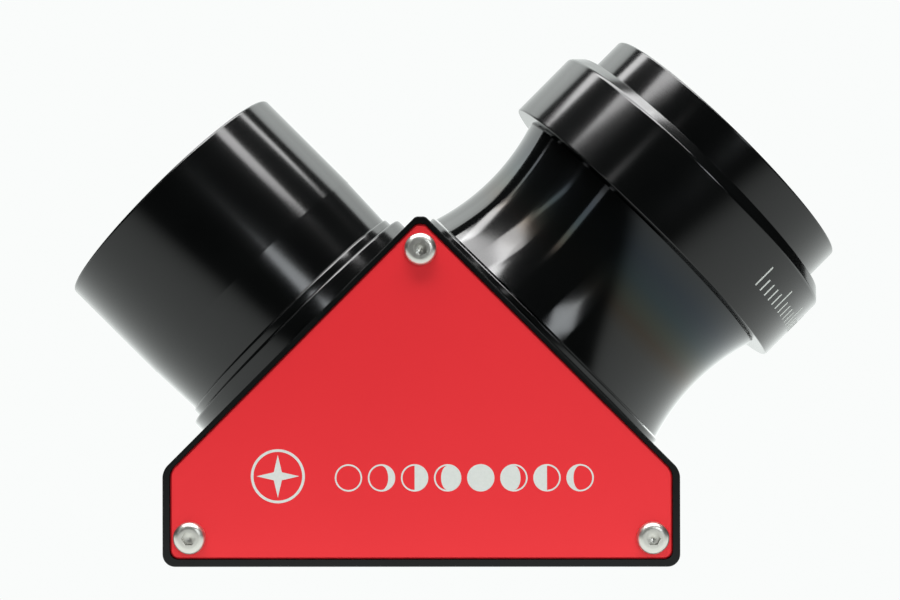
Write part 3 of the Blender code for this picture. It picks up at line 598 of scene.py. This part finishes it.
# %% Eyepiece sizes, from the frame
neck_seat_foot, neck_seat_top, neck_flange = reach("neck_seat_ring", EYEPIECE)
neck_foot, neck_thread_top, neck_end = reach("eyepiece_neck", EYEPIECE)
clamp_foot, clamp_top, clamp_radius = reach("clamp_ring", EYEPIECE)
adapter_foot, adapter_top, adapter_radius = reach("adapter_body", EYEPIECE)
HOLDER = BARREL + 0.3
NECK_TOP = neck_thread_top - 3.6
WAIST = HOLDER + 1.45
print("clamp ring", round(2 * clamp_radius, 2), "mm across, neck", round(2 * neck_end, 2))

# %% Seat ring and neck
FLANGE_TOP = FACE + 1.1
neck_seat = turned([
    (neck_flange, FLANGE_TOP, 0.25),
    (neck_flange, FACE + SEAM, 0.1),
    (SPIGOT, FACE + SEAM, 0),
    (SPIGOT, neck_seat_foot, 0.2),
    (SEAT_BORE, neck_seat_foot, 0.2),
    (SEAT_BORE, neck_seat_top, 0.2),
    (SPIGOT, neck_seat_top, 0.2),
    (SPIGOT, FLANGE_TOP - 0.2, 0),
    (neck_end - 0.9, FLANGE_TOP - 0.2, 0),
    (neck_end - 0.5, FLANGE_TOP, 0.1),
])
stand_in(neck_seat, "neck_seat_ring", eyepiece_black, EYEPIECE)


def cove(steps=32):
    """The neck's outside, from its top edge down to its foot, as an arc of one circle."""
    half = (NECK_TOP - neck_foot) / 2
    middle = (NECK_TOP + neck_foot) / 2
    flare = neck_end - WAIST
    bend = (half * half + flare * flare) / (2 * flare)
    points = []
    for step in range(steps + 1):
        rise = half * (1 - 2 * step / steps)
        points.append((WAIST + bend - math.sqrt(bend * bend - rise * rise), middle + rise, 0))
    return points


neck = turned([
    (HOLDER + 1.9, neck_thread_top, 0),
    (HOLDER + 1.9, NECK_TOP, 0),
    *cove(),
    (26.0, neck_foot, 0),
    (26.0, neck_foot + 4.2, 0),
    (23.2, neck_foot + 4.2, 0),
    (23.2, neck_foot + 5.7, 0),
    (HOLDER, neck_foot + 5.7, 0),
    (HOLDER, neck_thread_top, 0),
])
stand_in(neck, "eyepiece_neck", neck_black, EYEPIECE)

# %% Clamp ring
CLAMP_CHAMFER = 1.9
CLAMP_MIDDLE = (clamp_foot + clamp_top) / 2
band_low, band_high, band_radius = reach("clamp_compression_ring", EYEPIECE)
recess = neck_thread_top + 0.3
clamp_profile = [
    (clamp_radius - CLAMP_CHAMFER, clamp_top, 0.15),
    (clamp_radius, clamp_top - CLAMP_CHAMFER, 0.35),
    (clamp_radius, clamp_foot, 0.3),
    (HOLDER + 2.2, clamp_foot, 0.1),
    (HOLDER + 2.2, recess, 0),
    (HOLDER, recess, 0.1),
    *groove(HOLDER, band_low, band_high, band_radius),
    (HOLDER, clamp_top, 0.5),
]


def outwards(height, angle):
    """A place whose Z points out from the eyepiece axis, to the rear, turned by the angle."""
    lift = Matrix.Translation((0.0, 0.0, height * MM))
    turn = Matrix.Rotation(-angle, 4, "Z") @ Matrix.Rotation(-math.pi / 2, 4, "X")
    return EYEPIECE @ lift @ turn


SPREAD = math.radians(40.0)
SCALE_START = -52.0
clamp_holes = []
for angle in (-SPREAD, SPREAD):
    clamp_holes.append(moved(rod(2.3, HOLDER, clamp_radius + 3), outwards(CLAMP_MIDDLE, angle)))
stand_in(turned(clamp_profile), "clamp_ring", eyepiece_black, EYEPIECE, clamp_holes)

# %% Adapter
SMALL_BORE = 16.0
ADAPTER_MIDDLE = (clamp_top + 0.3 + adapter_top) / 2
small_low, small_high, small_radius = reach("adapter_compression_ring", EYEPIECE)
under = (CLAMP_MIDDLE - 3.9, CLAMP_MIDDLE + 3.9)
adapter_profile = [
    (adapter_radius, adapter_top, 0.35),
    (adapter_radius, clamp_top + SEAM, 0.3),
    (BARREL, clamp_top + SEAM, 0),
    (BARREL, under[1], 0),
    (BARREL - 0.6, under[1] - 0.6, 0),
    (BARREL - 0.6, under[0] + 0.6, 0),
    (BARREL, under[0], 0),
    (BARREL, adapter_foot, 0.4),
    (FILTER, adapter_foot, 0.1),
    *ribs(FILTER - 0.35, adapter_foot + 0.6, adapter_foot + 6.6, 0.75, 0.4),
    (FILTER, adapter_foot + 7.0, 0),
    (SMALL_BORE, adapter_foot + 7.0, 0),
    *groove(SMALL_BORE, small_low, small_high, small_radius),
    (SMALL_BORE, adapter_top, 0.5),
]
adapter_hole = moved(rod(1.8, 16.5, adapter_radius + 3), outwards(ADAPTER_MIDDLE, 0.0))
stand_in(turned(adapter_profile), "adapter_body", eyepiece_black, EYEPIECE, [adapter_hole])

# %% [markdown]
# ## Compression rings
#
# A thumbscrew would dent an eyepiece barrel, so it presses on a split brass ring instead. The
# profile is spun a little short of a full turn, and the two ends are then closed.


# %% Split brass rings
def split_ring(node, inner, split):
    low, high, outer = reach(node, EYEPIECE)
    opening = split / outer
    shape = turned(
        [(outer, high, 0.2), (outer, low, 0.2), (inner, low, 0.2), (inner, high, 0.2)],
        angle=2 * math.pi - opening,
    )
    bmesh.ops.holes_fill(shape, edges=[e for e in shape.edges if len(e.link_faces) == 1])
    bmesh.ops.rotate(
        shape, verts=shape.verts, cent=(0, 0, 0),
        matrix=Matrix.Rotation(-math.pi / 2 + opening / 2, 3, "Z"),
    )
    return stand_in(shape, node, band_brass, EYEPIECE)


split_ring("clamp_compression_ring", HOLDER, 2.5)
split_ring("adapter_compression_ring", 16.1, 2.5)


# %% [markdown]
# ## Thumbscrews
#
# The knob of a thumbscrew is knurled with straight teeth. A circle whose every second point is
# pulled in makes the toothed outline, which is then extruded and chamfered at both ends.

# %% Knobs and studs
def knurled(radius, low, high, teeth, depth):
    """A toothed drum along Z whose ends are chamfered, in millimetres."""
    shape = bmesh.new()
    bmesh.ops.create_circle(shape, cap_ends=True, segments=4 * teeth, radius=radius * MM)
    ring = sorted(shape.verts, key=lambda vert: math.atan2(vert.co.y, vert.co.x))
    valleys = [vert for number, vert in enumerate(ring) if number % 4 in (0, 1)]
    share = 1 - depth / radius
    bmesh.ops.scale(shape, vec=(share, share, 1), verts=valleys)
    bmesh.ops.translate(shape, verts=shape.verts, vec=(0, 0, low * MM))
    chamfer = 1 - 1.6 * depth / radius
    levels = [(low, chamfer), (low + 0.5, 1.0), (high - 0.5, 1.0), (high, chamfer)]
    face = shape.faces[:][0]
    bmesh.ops.scale(shape, vec=(chamfer, chamfer, 1), verts=face.verts[:])
    for (here, small), (there, large) in zip(levels, levels[1:]):
        bottom = bmesh.ops.extrude_face_region(shape, geom=[face])["geom"]
        if face.is_valid and here != low:
            bmesh.ops.delete(shape, geom=[face], context="FACES_ONLY")
        face = next(item for item in bottom if isinstance(item, bmesh.types.BMFace))
        bmesh.ops.translate(shape, verts=face.verts[:], vec=(0, 0, (there - here) * MM))
        grow = large / small
        bmesh.ops.scale(shape, vec=(grow, grow, 1), verts=face.verts[:])
    return shape


def thumbscrew(name, place, tip, surface, stud, radius, length, teeth):
    """A steel stud with a point at tip, and a knurled black knob over its outer end."""
    base = surface + 0.3
    head = base + 1.4
    end = head + length
    stud_end = base + 4.2
    stud_shape = turned([
        (0.0, stud_end, 0),
        (stud, stud_end, 0.2),
        (stud, tip + 1.0, 0),
        (stud - 0.7, tip, 0.2),
        (0.0, tip, 0),
    ], steps=48)
    stand_in(stud_shape, f"{name}_stud", screw_steel, place)
    grip = knurled(radius, head, end, teeth, 0.3)
    knob = f"{name}_knob"
    beside(grip, f"{knob}_grip", knob, knob_black, place)
    core = turned([
        (stud + 0.3, base, 0),
        (stud + 1.1, base, 0.15),
        (stud + 1.1, head + 0.3, 0),
        (stud + 0.3, head + 0.3, 0),
    ], steps=64)
    stand_in(core, knob, knob_black, place)


knob_black = speckled("knob_black", (0.012, 0.012, 0.013), (0.02, 0.02, 0.022), 0.28, 1600.0)
band_gap = band_radius + 0.3
for side, angle in (("left", -SPREAD), ("right", SPREAD)):
    place = outwards(CLAMP_MIDDLE, angle)
    thumbscrew(f"clamp_screw_{side}", place, band_gap, clamp_radius, 2.0, 4.6, 7.2, 20)
thumbscrew(
    "adapter_screw", outwards(ADAPTER_MIDDLE, 0.0), small_radius + 0.3, adapter_radius,
    1.5, 3.3, 5.6, 16,
)

# %% [markdown]
# ## Housing
#
# The housing is a block milled to five sides, hollow from side to side, with a recess on each
# side for a red plate and a bore through each slanting face. An outline is extruded, its rim is
# rounded, and what the mill takes out is cut away with solids of the same shapes.

# %% Housing sizes, from the frame
house_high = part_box("housing_body")[1] / MM
plate_low, plate_high = (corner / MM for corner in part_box("side_plate_front"))
PLATE_FACE = -plate_low.y
PLATE_BACK = -plate_high.y
AXIS = crossing.z / MM
ROOT_2 = math.sqrt(2.0)
SCREW_HOLE = 1.7
print("housing", round(2 * house_high.x, 1), "by", round(2 * house_high.y, 1), "mm")


# %% An outline of the housing or of a plate
def five_sided(half_width, bottom, face, top, corner, shoulder, peak, steps=6):
    """One rounded face in the plane y = 0. The top is cut flat where it is under the sharp apex."""
    apex = AXIS + face * ROOT_2
    knee = apex - half_width
    flat = apex - top
    shape = bmesh.new()
    places = [
        (-half_width, bottom, corner),
        (half_width, bottom, corner),
        (half_width, knee, shoulder * math.tan(math.pi / 8)),
        (flat, top, peak * math.tan(math.pi / 8)),
        (-flat, top, peak * math.tan(math.pi / 8)),
        (-half_width, knee, shoulder * math.tan(math.pi / 8)),
    ]
    corners = [shape.verts.new((x * MM, 0.0, z * MM)) for x, z, _ in places]
    shape.faces.new(corners)
    for back in sorted({place[2] for place in places}):
        chosen = [vert for vert, place in zip(corners, places) if place[2] == back]
        bmesh.ops.bevel(
            shape, geom=chosen, offset=back * MM, segments=steps, profile=0.5,
            affect="VERTICES", material=-1,
        )
    return shape


def thick(shape, low, high):
    """Extrudes a flat shape in the plane y = 0 into a slab from y = low to y = high."""
    bmesh.ops.translate(shape, verts=shape.verts, vec=(0, low * MM, 0))
    grown = bmesh.ops.extrude_face_region(shape, geom=shape.faces[:])["geom"]
    verts = [item for item in grown if isinstance(item, bmesh.types.BMVert)]
    bmesh.ops.translate(shape, verts=verts, vec=(0, (high - low) * MM, 0))
    bmesh.ops.recalc_face_normals(shape, faces=shape.faces)
    return shape


def break_rims(shape, levels, size, segments=3):
    """Rounds the edges that lie in the planes y = level."""
    rims = []
    for level in levels:
        for edge in shape.edges:
            if all(abs(vert.co.y - level * MM) < 0.001 * MM for vert in edge.verts):
                rims.append(edge)
    bmesh.ops.bevel(
        shape, geom=rims, offset=size * MM, segments=segments, profile=0.5,
        affect="EDGES", material=-1, clamp_overlap=True,
    )
    return shape


# %% Cutters of the housing
def prism(points, low, high):
    shape = bmesh.new()
    shape.faces.new([shape.verts.new((x * MM, 0.0, z * MM)) for x, z in points])
    return thick(shape, low, high)


PLATE_X = house_high.x - 4.8
PLATE_Z = 5.1
PLATE_TOP = house_high.z - 5.75
screw_places = {"top": (0.0, PLATE_TOP), "left": (-PLATE_X, PLATE_Z), "right": (PLATE_X, PLATE_Z)}
RECESS = PLATE_BACK - 0.3
PLATE_SHAPE = (
    house_high.x - 1.35, 1.35, FACE - 1.0, house_high.z - 1.35, 2.2 - 0.675, 3.0 - 0.5, 0.9,
)


def plate_outline(grow):
    half_width, bottom, face, top, corner, shoulder, peak = PLATE_SHAPE
    return five_sided(
        half_width + grow, bottom - grow, face + grow, top + grow, corner, shoulder, peak
    )


def facing(side, x, y, z):
    """A place whose Z points out of the front (-1) or the rear (1) plate."""
    turn = Matrix.Rotation(-side * math.pi / 2, 4, "X")
    return Matrix.Translation((x * MM, side * y * MM, z * MM)) @ turn


boss = 1.8 + 2.4
inner = (FACE - 6.0) * ROOT_2
pocket = [
    (PLATE_X - boss, 5.0),
    (PLATE_X - boss, PLATE_Z + boss),
    (house_high.x - 4.0, PLATE_Z + boss),
    (house_high.x - 4.0, AXIS + inner - house_high.x + 4.0),
    (AXIS + inner - PLATE_TOP + boss, PLATE_TOP - boss),
]
pocket += [(-x, z) for x, z in reversed(pocket)]
housing_cutters = [
    prism(pocket, -40, 40),
    thick(plate_outline(0.08), -40, -RECESS),
    thick(plate_outline(0.08), RECESS, 40),
    moved(rod(25.9, FACE - 12, FACE + 5, 160), NOSE),
    moved(rod(25.9, FACE - 12, FACE + 5, 160), EYEPIECE),
]
for side in (-1, 1):
    for x, z in screw_places.values():
        hole = rod(SCREW_HOLE, -6.3, 5, 24)
        housing_cutters.append(moved(hole, facing(side, x, RECESS, z)))

# %% Cut the housing
block = five_sided(
    house_high.x, 0.0, FACE, house_high.z, 2.2, 3.0, 0.9, steps=8,
)
thick(block, -house_high.y, house_high.y)
break_rims(block, (-house_high.y, house_high.y), 0.22)
stand_in(block, "housing_body", housing_black, MIDDLE, housing_cutters)
print(len(housing_cutters), "cutters take the metal out of the housing")

# %% [markdown]
# ## Side plates
#
# Each plate is a red slab with a chamfered rim, which drops into its recess and is held by three
# button-head screws.

# %% Plates
for name, side in (("front", -1), ("rear", 1)):
    slab = thick(plate_outline(0.0), *sorted((side * PLATE_FACE, side * PLATE_BACK)))
    break_rims(slab, (side * PLATE_FACE,), 0.32, 1)
    holes = []
    for x, z in screw_places.values():
        holes.append(moved(rod(SCREW_HOLE, -4, 4, 32), facing(side, x, PLATE_FACE, z)))
    stand_in(slab, f"side_plate_{name}", plate_red, MIDDLE, holes)

# %% [markdown]
# ## Screws
#
# A button head is a flat dome with a hexagon socket, whose floor the drill leaves as a cone.

# %% Button-head screws
HEAD = 2.84
HEAD_HEIGHT = 1.65
SOCKET = 2.2 / math.sqrt(3.0)


def button_screw():
    """A screw along Z, with the underside of its head at zero."""
    flat = 1.62
    dome = []
    for step in range(1, 9):
        share = step / 8
        drop = 1.2 * (1 - math.sqrt(1 - 0.96 * share * share))
        dome.append((flat + (HEAD - flat) * share, HEAD_HEIGHT - drop, 0))
    return [
        (0.0, HEAD_HEIGHT, 0),
        (flat, HEAD_HEIGHT, 0),
        *dome,
        (HEAD, 0.0, 0.1),
        (1.45, 0.0, 0),
        (1.45, -7.5, 0),
        (1.0, -8.0, 0),
        (0.0, -8.0, 0),
    ]


def socket_cutters():
    hexagon = rod(SOCKET, HEAD_HEIGHT - 1.05, HEAD_HEIGHT + 1, 6)
    drill = rod(0.05, HEAD_HEIGHT - 1.6, HEAD_HEIGHT - 1.0, 24, top=0.85)
    return [hexagon, drill]


for name, side in (("front", -1), ("rear", 1)):
    for place_name, (x, z) in screw_places.items():
        place = facing(side, x, PLATE_FACE + 0.03, z)
        turn = Matrix.Rotation(0.4 * x, 4, "Z")
        cutters = [moved(cutter, place @ turn) for cutter in socket_cutters()]
        stand_in(
            turned(button_screw(), steps=64), f"plate_screw_{name}_{place_name}",
            screw_steel, place, cutters,
        )

# %% [markdown]
# ## Marks
#
# The front plate carries a small decoration, where a laser has bleached the dye to grey. A
# plain four-pointed star in a ring and a row of the moon's eight phases suit the instrument. A
# phase is a disc with one half squeezed sideways, and every shape is then thickened at once.


# %% Shapes of the marks
def disc(shape, x, z, radius, left=1.0, right=1.0, segments=48):
    """A flat disc in millimetres, whose left and right halves are squeezed by those shares."""
    made = bmesh.ops.create_circle(shape, cap_ends=True, segments=segments, radius=radius * MM)
    verts = made["verts"]
    for half, share in ((-1, left), (1, right)):
        chosen = [vert for vert in verts if half * vert.co.x > 0.001 * MM]
        if share != 1.0:
            bmesh.ops.scale(shape, vec=(share, 1.0, 1.0), verts=chosen)
    bmesh.ops.translate(shape, verts=verts, vec=(x * MM, z * MM, 0.0))


def hoop(shape, x, z, outer, inner, segments=64):
    """A flat ring in millimetres."""
    edges = []
    for radius in (outer, inner):
        made = bmesh.ops.create_circle(shape, cap_ends=False, segments=segments, radius=radius * MM)
        bmesh.ops.translate(shape, verts=made["verts"], vec=(x * MM, z * MM, 0.0))
        edges += {edge for vert in made["verts"] for edge in vert.link_edges}
    bmesh.ops.bridge_loops(shape, edges=edges)


def star(shape, x, z, long, short):
    """A flat star of four points in millimetres."""
    made = bmesh.ops.create_circle(shape, cap_ends=True, segments=8, radius=long * MM)
    hollows = [vert for vert in made["verts"] if min(abs(vert.co.x), abs(vert.co.y)) > 0.1 * MM]
    bmesh.ops.scale(shape, vec=(short / long, short / long, 1.0), verts=hollows)
    bmesh.ops.translate(shape, verts=made["verts"], vec=(x * MM, z * MM, 0.0))


def raised(shape, foot, top):
    """Thickens every flat face of a shape, from foot to top in millimetres."""
    bmesh.ops.translate(shape, verts=shape.verts, vec=(0, 0, foot * MM))
    grown = bmesh.ops.extrude_face_region(shape, geom=shape.faces[:])["geom"]
    verts = [item for item in grown if isinstance(item, bmesh.types.BMVert)]
    bmesh.ops.translate(shape, verts=verts, vec=(0, 0, (top - foot) * MM))


# %% Star and moons on the front plate
marks = bmesh.new()
hoop(marks, -25.1, 15.9, 4.75, 4.28)
star(marks, -25.1, 15.9, 3.75, 1.0)
phases = [None, (1, -0.55), (1, 0.0), (1, 0.55), (1, 1.0), (-1, 0.55), (-1, 0.0), (-1, -0.55)]
for number, phase in enumerate(phases):
    x = -12.7 + 5.8 * number
    hoop(marks, x, 15.6, 2.4, 2.12)
    if phase:
        lit, share = phase
        left, right = (share, 1.0) if lit == 1 else (1.0, share)
        disc(marks, x, 15.6, 2.121, left, right)
raised(marks, -0.03, 0.02)
front = facing(-1, 0.0, PLATE_FACE, 0.0)
beside(marks, "plate_marks", "side_plate_front", mark_grey, front)
print(len(phases), "phases of the moon")

# %% Scale on the clamp ring
scale = bmesh.new()
for number in range(26):
    long = number % 5 == 0
    length = 4.4 if long else 2.6
    bar = bmesh.ops.create_cube(scale, size=1.0)["verts"]
    bmesh.ops.scale(scale, vec=(0.05 * MM, 0.34 * MM, length * MM), verts=bar)
    bmesh.ops.translate(
        scale, verts=bar, vec=(clamp_radius * MM, 0.0, (CLAMP_MIDDLE + 0.4 - (4.4 - length) / 2) * MM)
    )
    turn = Matrix.Rotation(math.radians(SCALE_START + 3.0 * number), 3, "Z")
    bmesh.ops.rotate(scale, verts=bar, cent=(0, 0, 0), matrix=turn)
beside(scale, "clamp_scale", "clamp_ring", mark_grey, EYEPIECE)
print("the scale spans", 3 * number, "degrees")

# %% [markdown]
# ## Inside the housing
#
# The cell, the clips and the pads are seen only through the bores, so their CAD shapes stay and
# only their finishes change. The mirror is made again with polished bevels.

# %% Mirror
low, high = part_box("mirror")
glass = bmesh.new()
blank = Matrix.Translation((low + high) / 2) @ Matrix.Diagonal((*(high - low), 1.0))
bmesh.ops.create_cube(glass, size=1.0, matrix=blank)
bmesh.ops.bevel(
    glass, geom=glass.edges[:], offset=0.4 * MM, segments=2, profile=0.5, affect="EDGES", material=-1,
)
mirror = stand_in(glass, "mirror", mirror_glass)
mirror.data.materials.append(mirror_coat)
for face in mirror.data.polygons:
    if face.normal.z > 0.9:
        face.material_index = 1

# %% Finishes of the nodes that stay
kept_finishes = {
    "mirror_cell": housing_black,
    "mirror_pad_left": pad_grey,
    "mirror_pad_front": pad_grey,
    "mirror_pad_rear": pad_grey,
    "mirror_clip_front": clip_steel,
    "mirror_clip_rear": clip_steel,
    "mirror_clip_screw_front": screw_steel,
    "mirror_clip_screw_rear": screw_steel,
    "cell_screw_front_left": screw_steel,
    "cell_screw_front_right": screw_steel,
    "cell_screw_rear_left": screw_steel,
    "cell_screw_rear_right": screw_steel,
}
for node, finish in kept_finishes.items():
    for material_slot in frame["nodes"][node].material_slots:
        material_slot.material = finish
print(len(kept_finishes), "nodes keep their CAD shape")

# %% [markdown]
# ## Floor and light
#
# Black gloss is drawn by what it mirrors, so the studio matters as much as the finish. The piece
# stands on a pale table before a pale wall, in a room that is otherwise dark. The table glows most
# just behind the piece and fades towards the front, and the wall brightens upwards. That glow is
# met only by the piece and its reflections. Straight to the camera, the table, the wall and the
# world are one flat white, so the piece has no shadow under it. The wall lights no matt surface.

# %% Table and wall
WHITE = (0.955, 0.972, 0.964)
GLOW_RANGE = 4.0  # a curve node runs from 0 to 1, so a glow is divided by this and grown again


def plain_to_camera(tree, glow, plain, surface):
    """Straight to the camera the surface is plain. Reflections and other pieces meet its glow."""
    seen = add(tree, "ShaderNodeLightPath")
    either = add(tree, "ShaderNodeMixShader")
    tree.links.new(seen.outputs["Is Camera Ray"], either.inputs["Fac"])
    tree.links.new(glow, either.inputs[1])
    tree.links.new(plain, either.inputs[2])
    tree.links.new(either.outputs["Shader"], surface)


def glowing(name, low, high, axis, stops):
    """A surface whose glow follows one axis. Straight to the camera it is one plain white."""
    finish = bpy.data.materials.new(name)
    finish.use_nodes = True
    tree = finish.node_tree
    tree.nodes.clear()
    coordinates = add(tree, "ShaderNodeTexCoord")
    split = add(tree, "ShaderNodeSeparateXYZ")
    along = add(tree, "ShaderNodeMapRange")
    along.inputs["From Min"].default_value = low
    along.inputs["From Max"].default_value = high
    curve = add(tree, "ShaderNodeFloatCurve")
    points = curve.mapping.curves[0].points
    for place, glow in stops:
        here = (place - low) / (high - low)
        if here in (0.0, 1.0):
            points[int(here) * (len(points) - 1)].location = (here, glow / GLOW_RANGE)
        else:
            points.new(here, glow / GLOW_RANGE)
    curve.mapping.update()
    lift = add(tree, "ShaderNodeMath", operation="MULTIPLY")
    lift.inputs[1].default_value = GLOW_RANGE
    glow = add(tree, "ShaderNodeEmission", Color=(0.955, 1.0, 0.98, 1.0))
    plain = add(tree, "ShaderNodeEmission", Color=(*WHITE, 1.0))
    output = add(tree, "ShaderNodeOutputMaterial")
    tree.links.new(coordinates.outputs["Object"], split.inputs["Vector"])
    tree.links.new(split.outputs[axis], along.inputs["Value"])
    tree.links.new(along.outputs["Result"], curve.inputs["Value"])
    tree.links.new(curve.outputs["Value"], lift.inputs[0])
    tree.links.new(lift.outputs["Value"], glow.inputs["Strength"])
    plain_to_camera(
        tree, glow.outputs["Emission"], plain.outputs["Emission"], output.inputs["Surface"]
    )
    return finish


def sheet(name, low, high, finish):
    """A flat stage sheet between two opposite corners, in metres."""
    low, high = Vector(low), Vector(high)
    size = high - low
    shape = bmesh.new()
    bmesh.ops.create_grid(shape, x_segments=1, y_segments=1, size=0.5)
    if size.z:
        bmesh.ops.rotate(shape, verts=shape.verts, matrix=Matrix.Rotation(math.pi / 2, 3, "X"))
    bmesh.ops.scale(shape, verts=shape.verts, vec=(size.x, size.y or 1.0, size.z or 1.0))
    bmesh.ops.translate(shape, verts=shape.verts, vec=(low + high) / 2)
    made = as_object(shape, name)
    made.data.materials.append(finish)
    return made


table_glow = [
    (-0.45, 0.05), (-0.38, 0.12), (-0.27, 0.42), (-0.21, 0.68), (-0.12, 0.95), (-0.05, 1.12),
    (0.0, 1.33), (0.06, 1.58), (0.13, 1.53), (0.35, 1.24), (0.7, 1.05),
]
wall_glow = [
    (0.0, 1.05), (0.3, 1.1), (0.43, 1.3), (0.557, 1.64), (0.615, 1.95), (0.73, 2.26),
    (0.815, 2.46), (0.9, 2.4), (1.0, 1.95),
]
table_white = glowing("table_glow", -0.45, 0.7, "Y", table_glow)
sheet("table", (-0.8, -0.45, 0.0), (0.8, 0.7, 0.0), table_white)
wall_white = glowing("wall_glow", 0.0, 1.0, "Z", wall_glow)
wall = sheet("wall", (-0.68, 0.7, 0.0), (0.68, 0.7, 1.0), wall_white)
wall.visible_diffuse = False

# %% [markdown]
# Four lamps, one above each corner, draw the bright streaks along the barrels. A wide one straight
# overhead and one above the front light the edges, and the front fill lights the plates without
# being mirrored. Two low lamps and two dim strips at the side draw the neck's finer streaks.


# %% Lamps
def lamp(name, azimuth, elevation, distance, width, height, glow, colour=(1.0, 1.0, 1.0), spin=0.0):
    """A soft lamp that faces the piece. Azimuth is 0 behind the piece and grows to the right."""
    turn = math.radians(azimuth)
    rise = math.radians(elevation)
    way = Vector((
        math.sin(turn) * math.cos(rise), math.cos(turn) * math.cos(rise), math.sin(rise),
    ))
    light = bpy.data.lights.new(name, "AREA")
    light.shape = "RECTANGLE"
    light.size = width
    light.size_y = height
    light.energy = glow * math.pi * width * height
    light.color = colour
    made = bpy.data.objects.new(name, light)
    made.matrix_world = (
        Matrix.Translation(Vector((0.0, 0.0, 0.07)) + distance * way)
        @ way.to_track_quat("Z", "Y").to_matrix().to_4x4()
        @ Matrix.Rotation(math.radians(spin), 4, "Z")
    )
    made.visible_camera = False
    scene.collection.objects.link(made)
    return made


lamp("left_rear", -60, 56, 0.7, 0.10, 0.18, 9.0)
lamp("left_front", -127, 57, 0.7, 0.24, 0.17, 9.0)
lamp("right_rear", 62, 55, 0.7, 0.06, 0.16, 8.0)
lamp("right_front", 117, 55, 0.7, 0.11, 0.16, 10.0)
lamp("overhead", 0, 90, 0.6, 0.60, 0.60, 8.0)
lamp("above_front", 180, 66, 0.7, 0.34, 0.12, 12.0)
fill = lamp("front_fill", 180, 24, 0.9, 0.8, 0.4, 1.6)
fill.visible_glossy = False
lamp("low_right", 156, 14, 0.6, 0.17, 0.15, 6.5, colour=(0.92, 0.97, 1.0))
lamp("low_left", -145, 20, 0.6, 0.045, 0.34, 1.7, spin=-45.0)
lamp("neck_rear", -63, 40, 0.7, 0.035, 0.2, 1.6)
lamp("neck_front", -116, 37, 0.7, 0.05, 0.22, 1.6)
print(len(bpy.data.lights), "lamps")

# %% [markdown]
# ### The room
#
# The rest of the studio is dark, so that black pieces have something black to mirror.

# %% World
world = bpy.data.worlds.new("studio")
scene.world = world
world.use_nodes = True
room = world.node_tree
dark = room.nodes["Background"]
dark.inputs["Color"].default_value = (0.01, 0.01, 0.01, 1.0)
light_side = add(room, "ShaderNodeBackground", Color=(*WHITE, 1.0))
plain_to_camera(
    room, dark.outputs["Background"], light_side.outputs["Background"],
    room.nodes["World Output"].inputs["Surface"],
)
scene.view_settings.view_transform = "Standard"
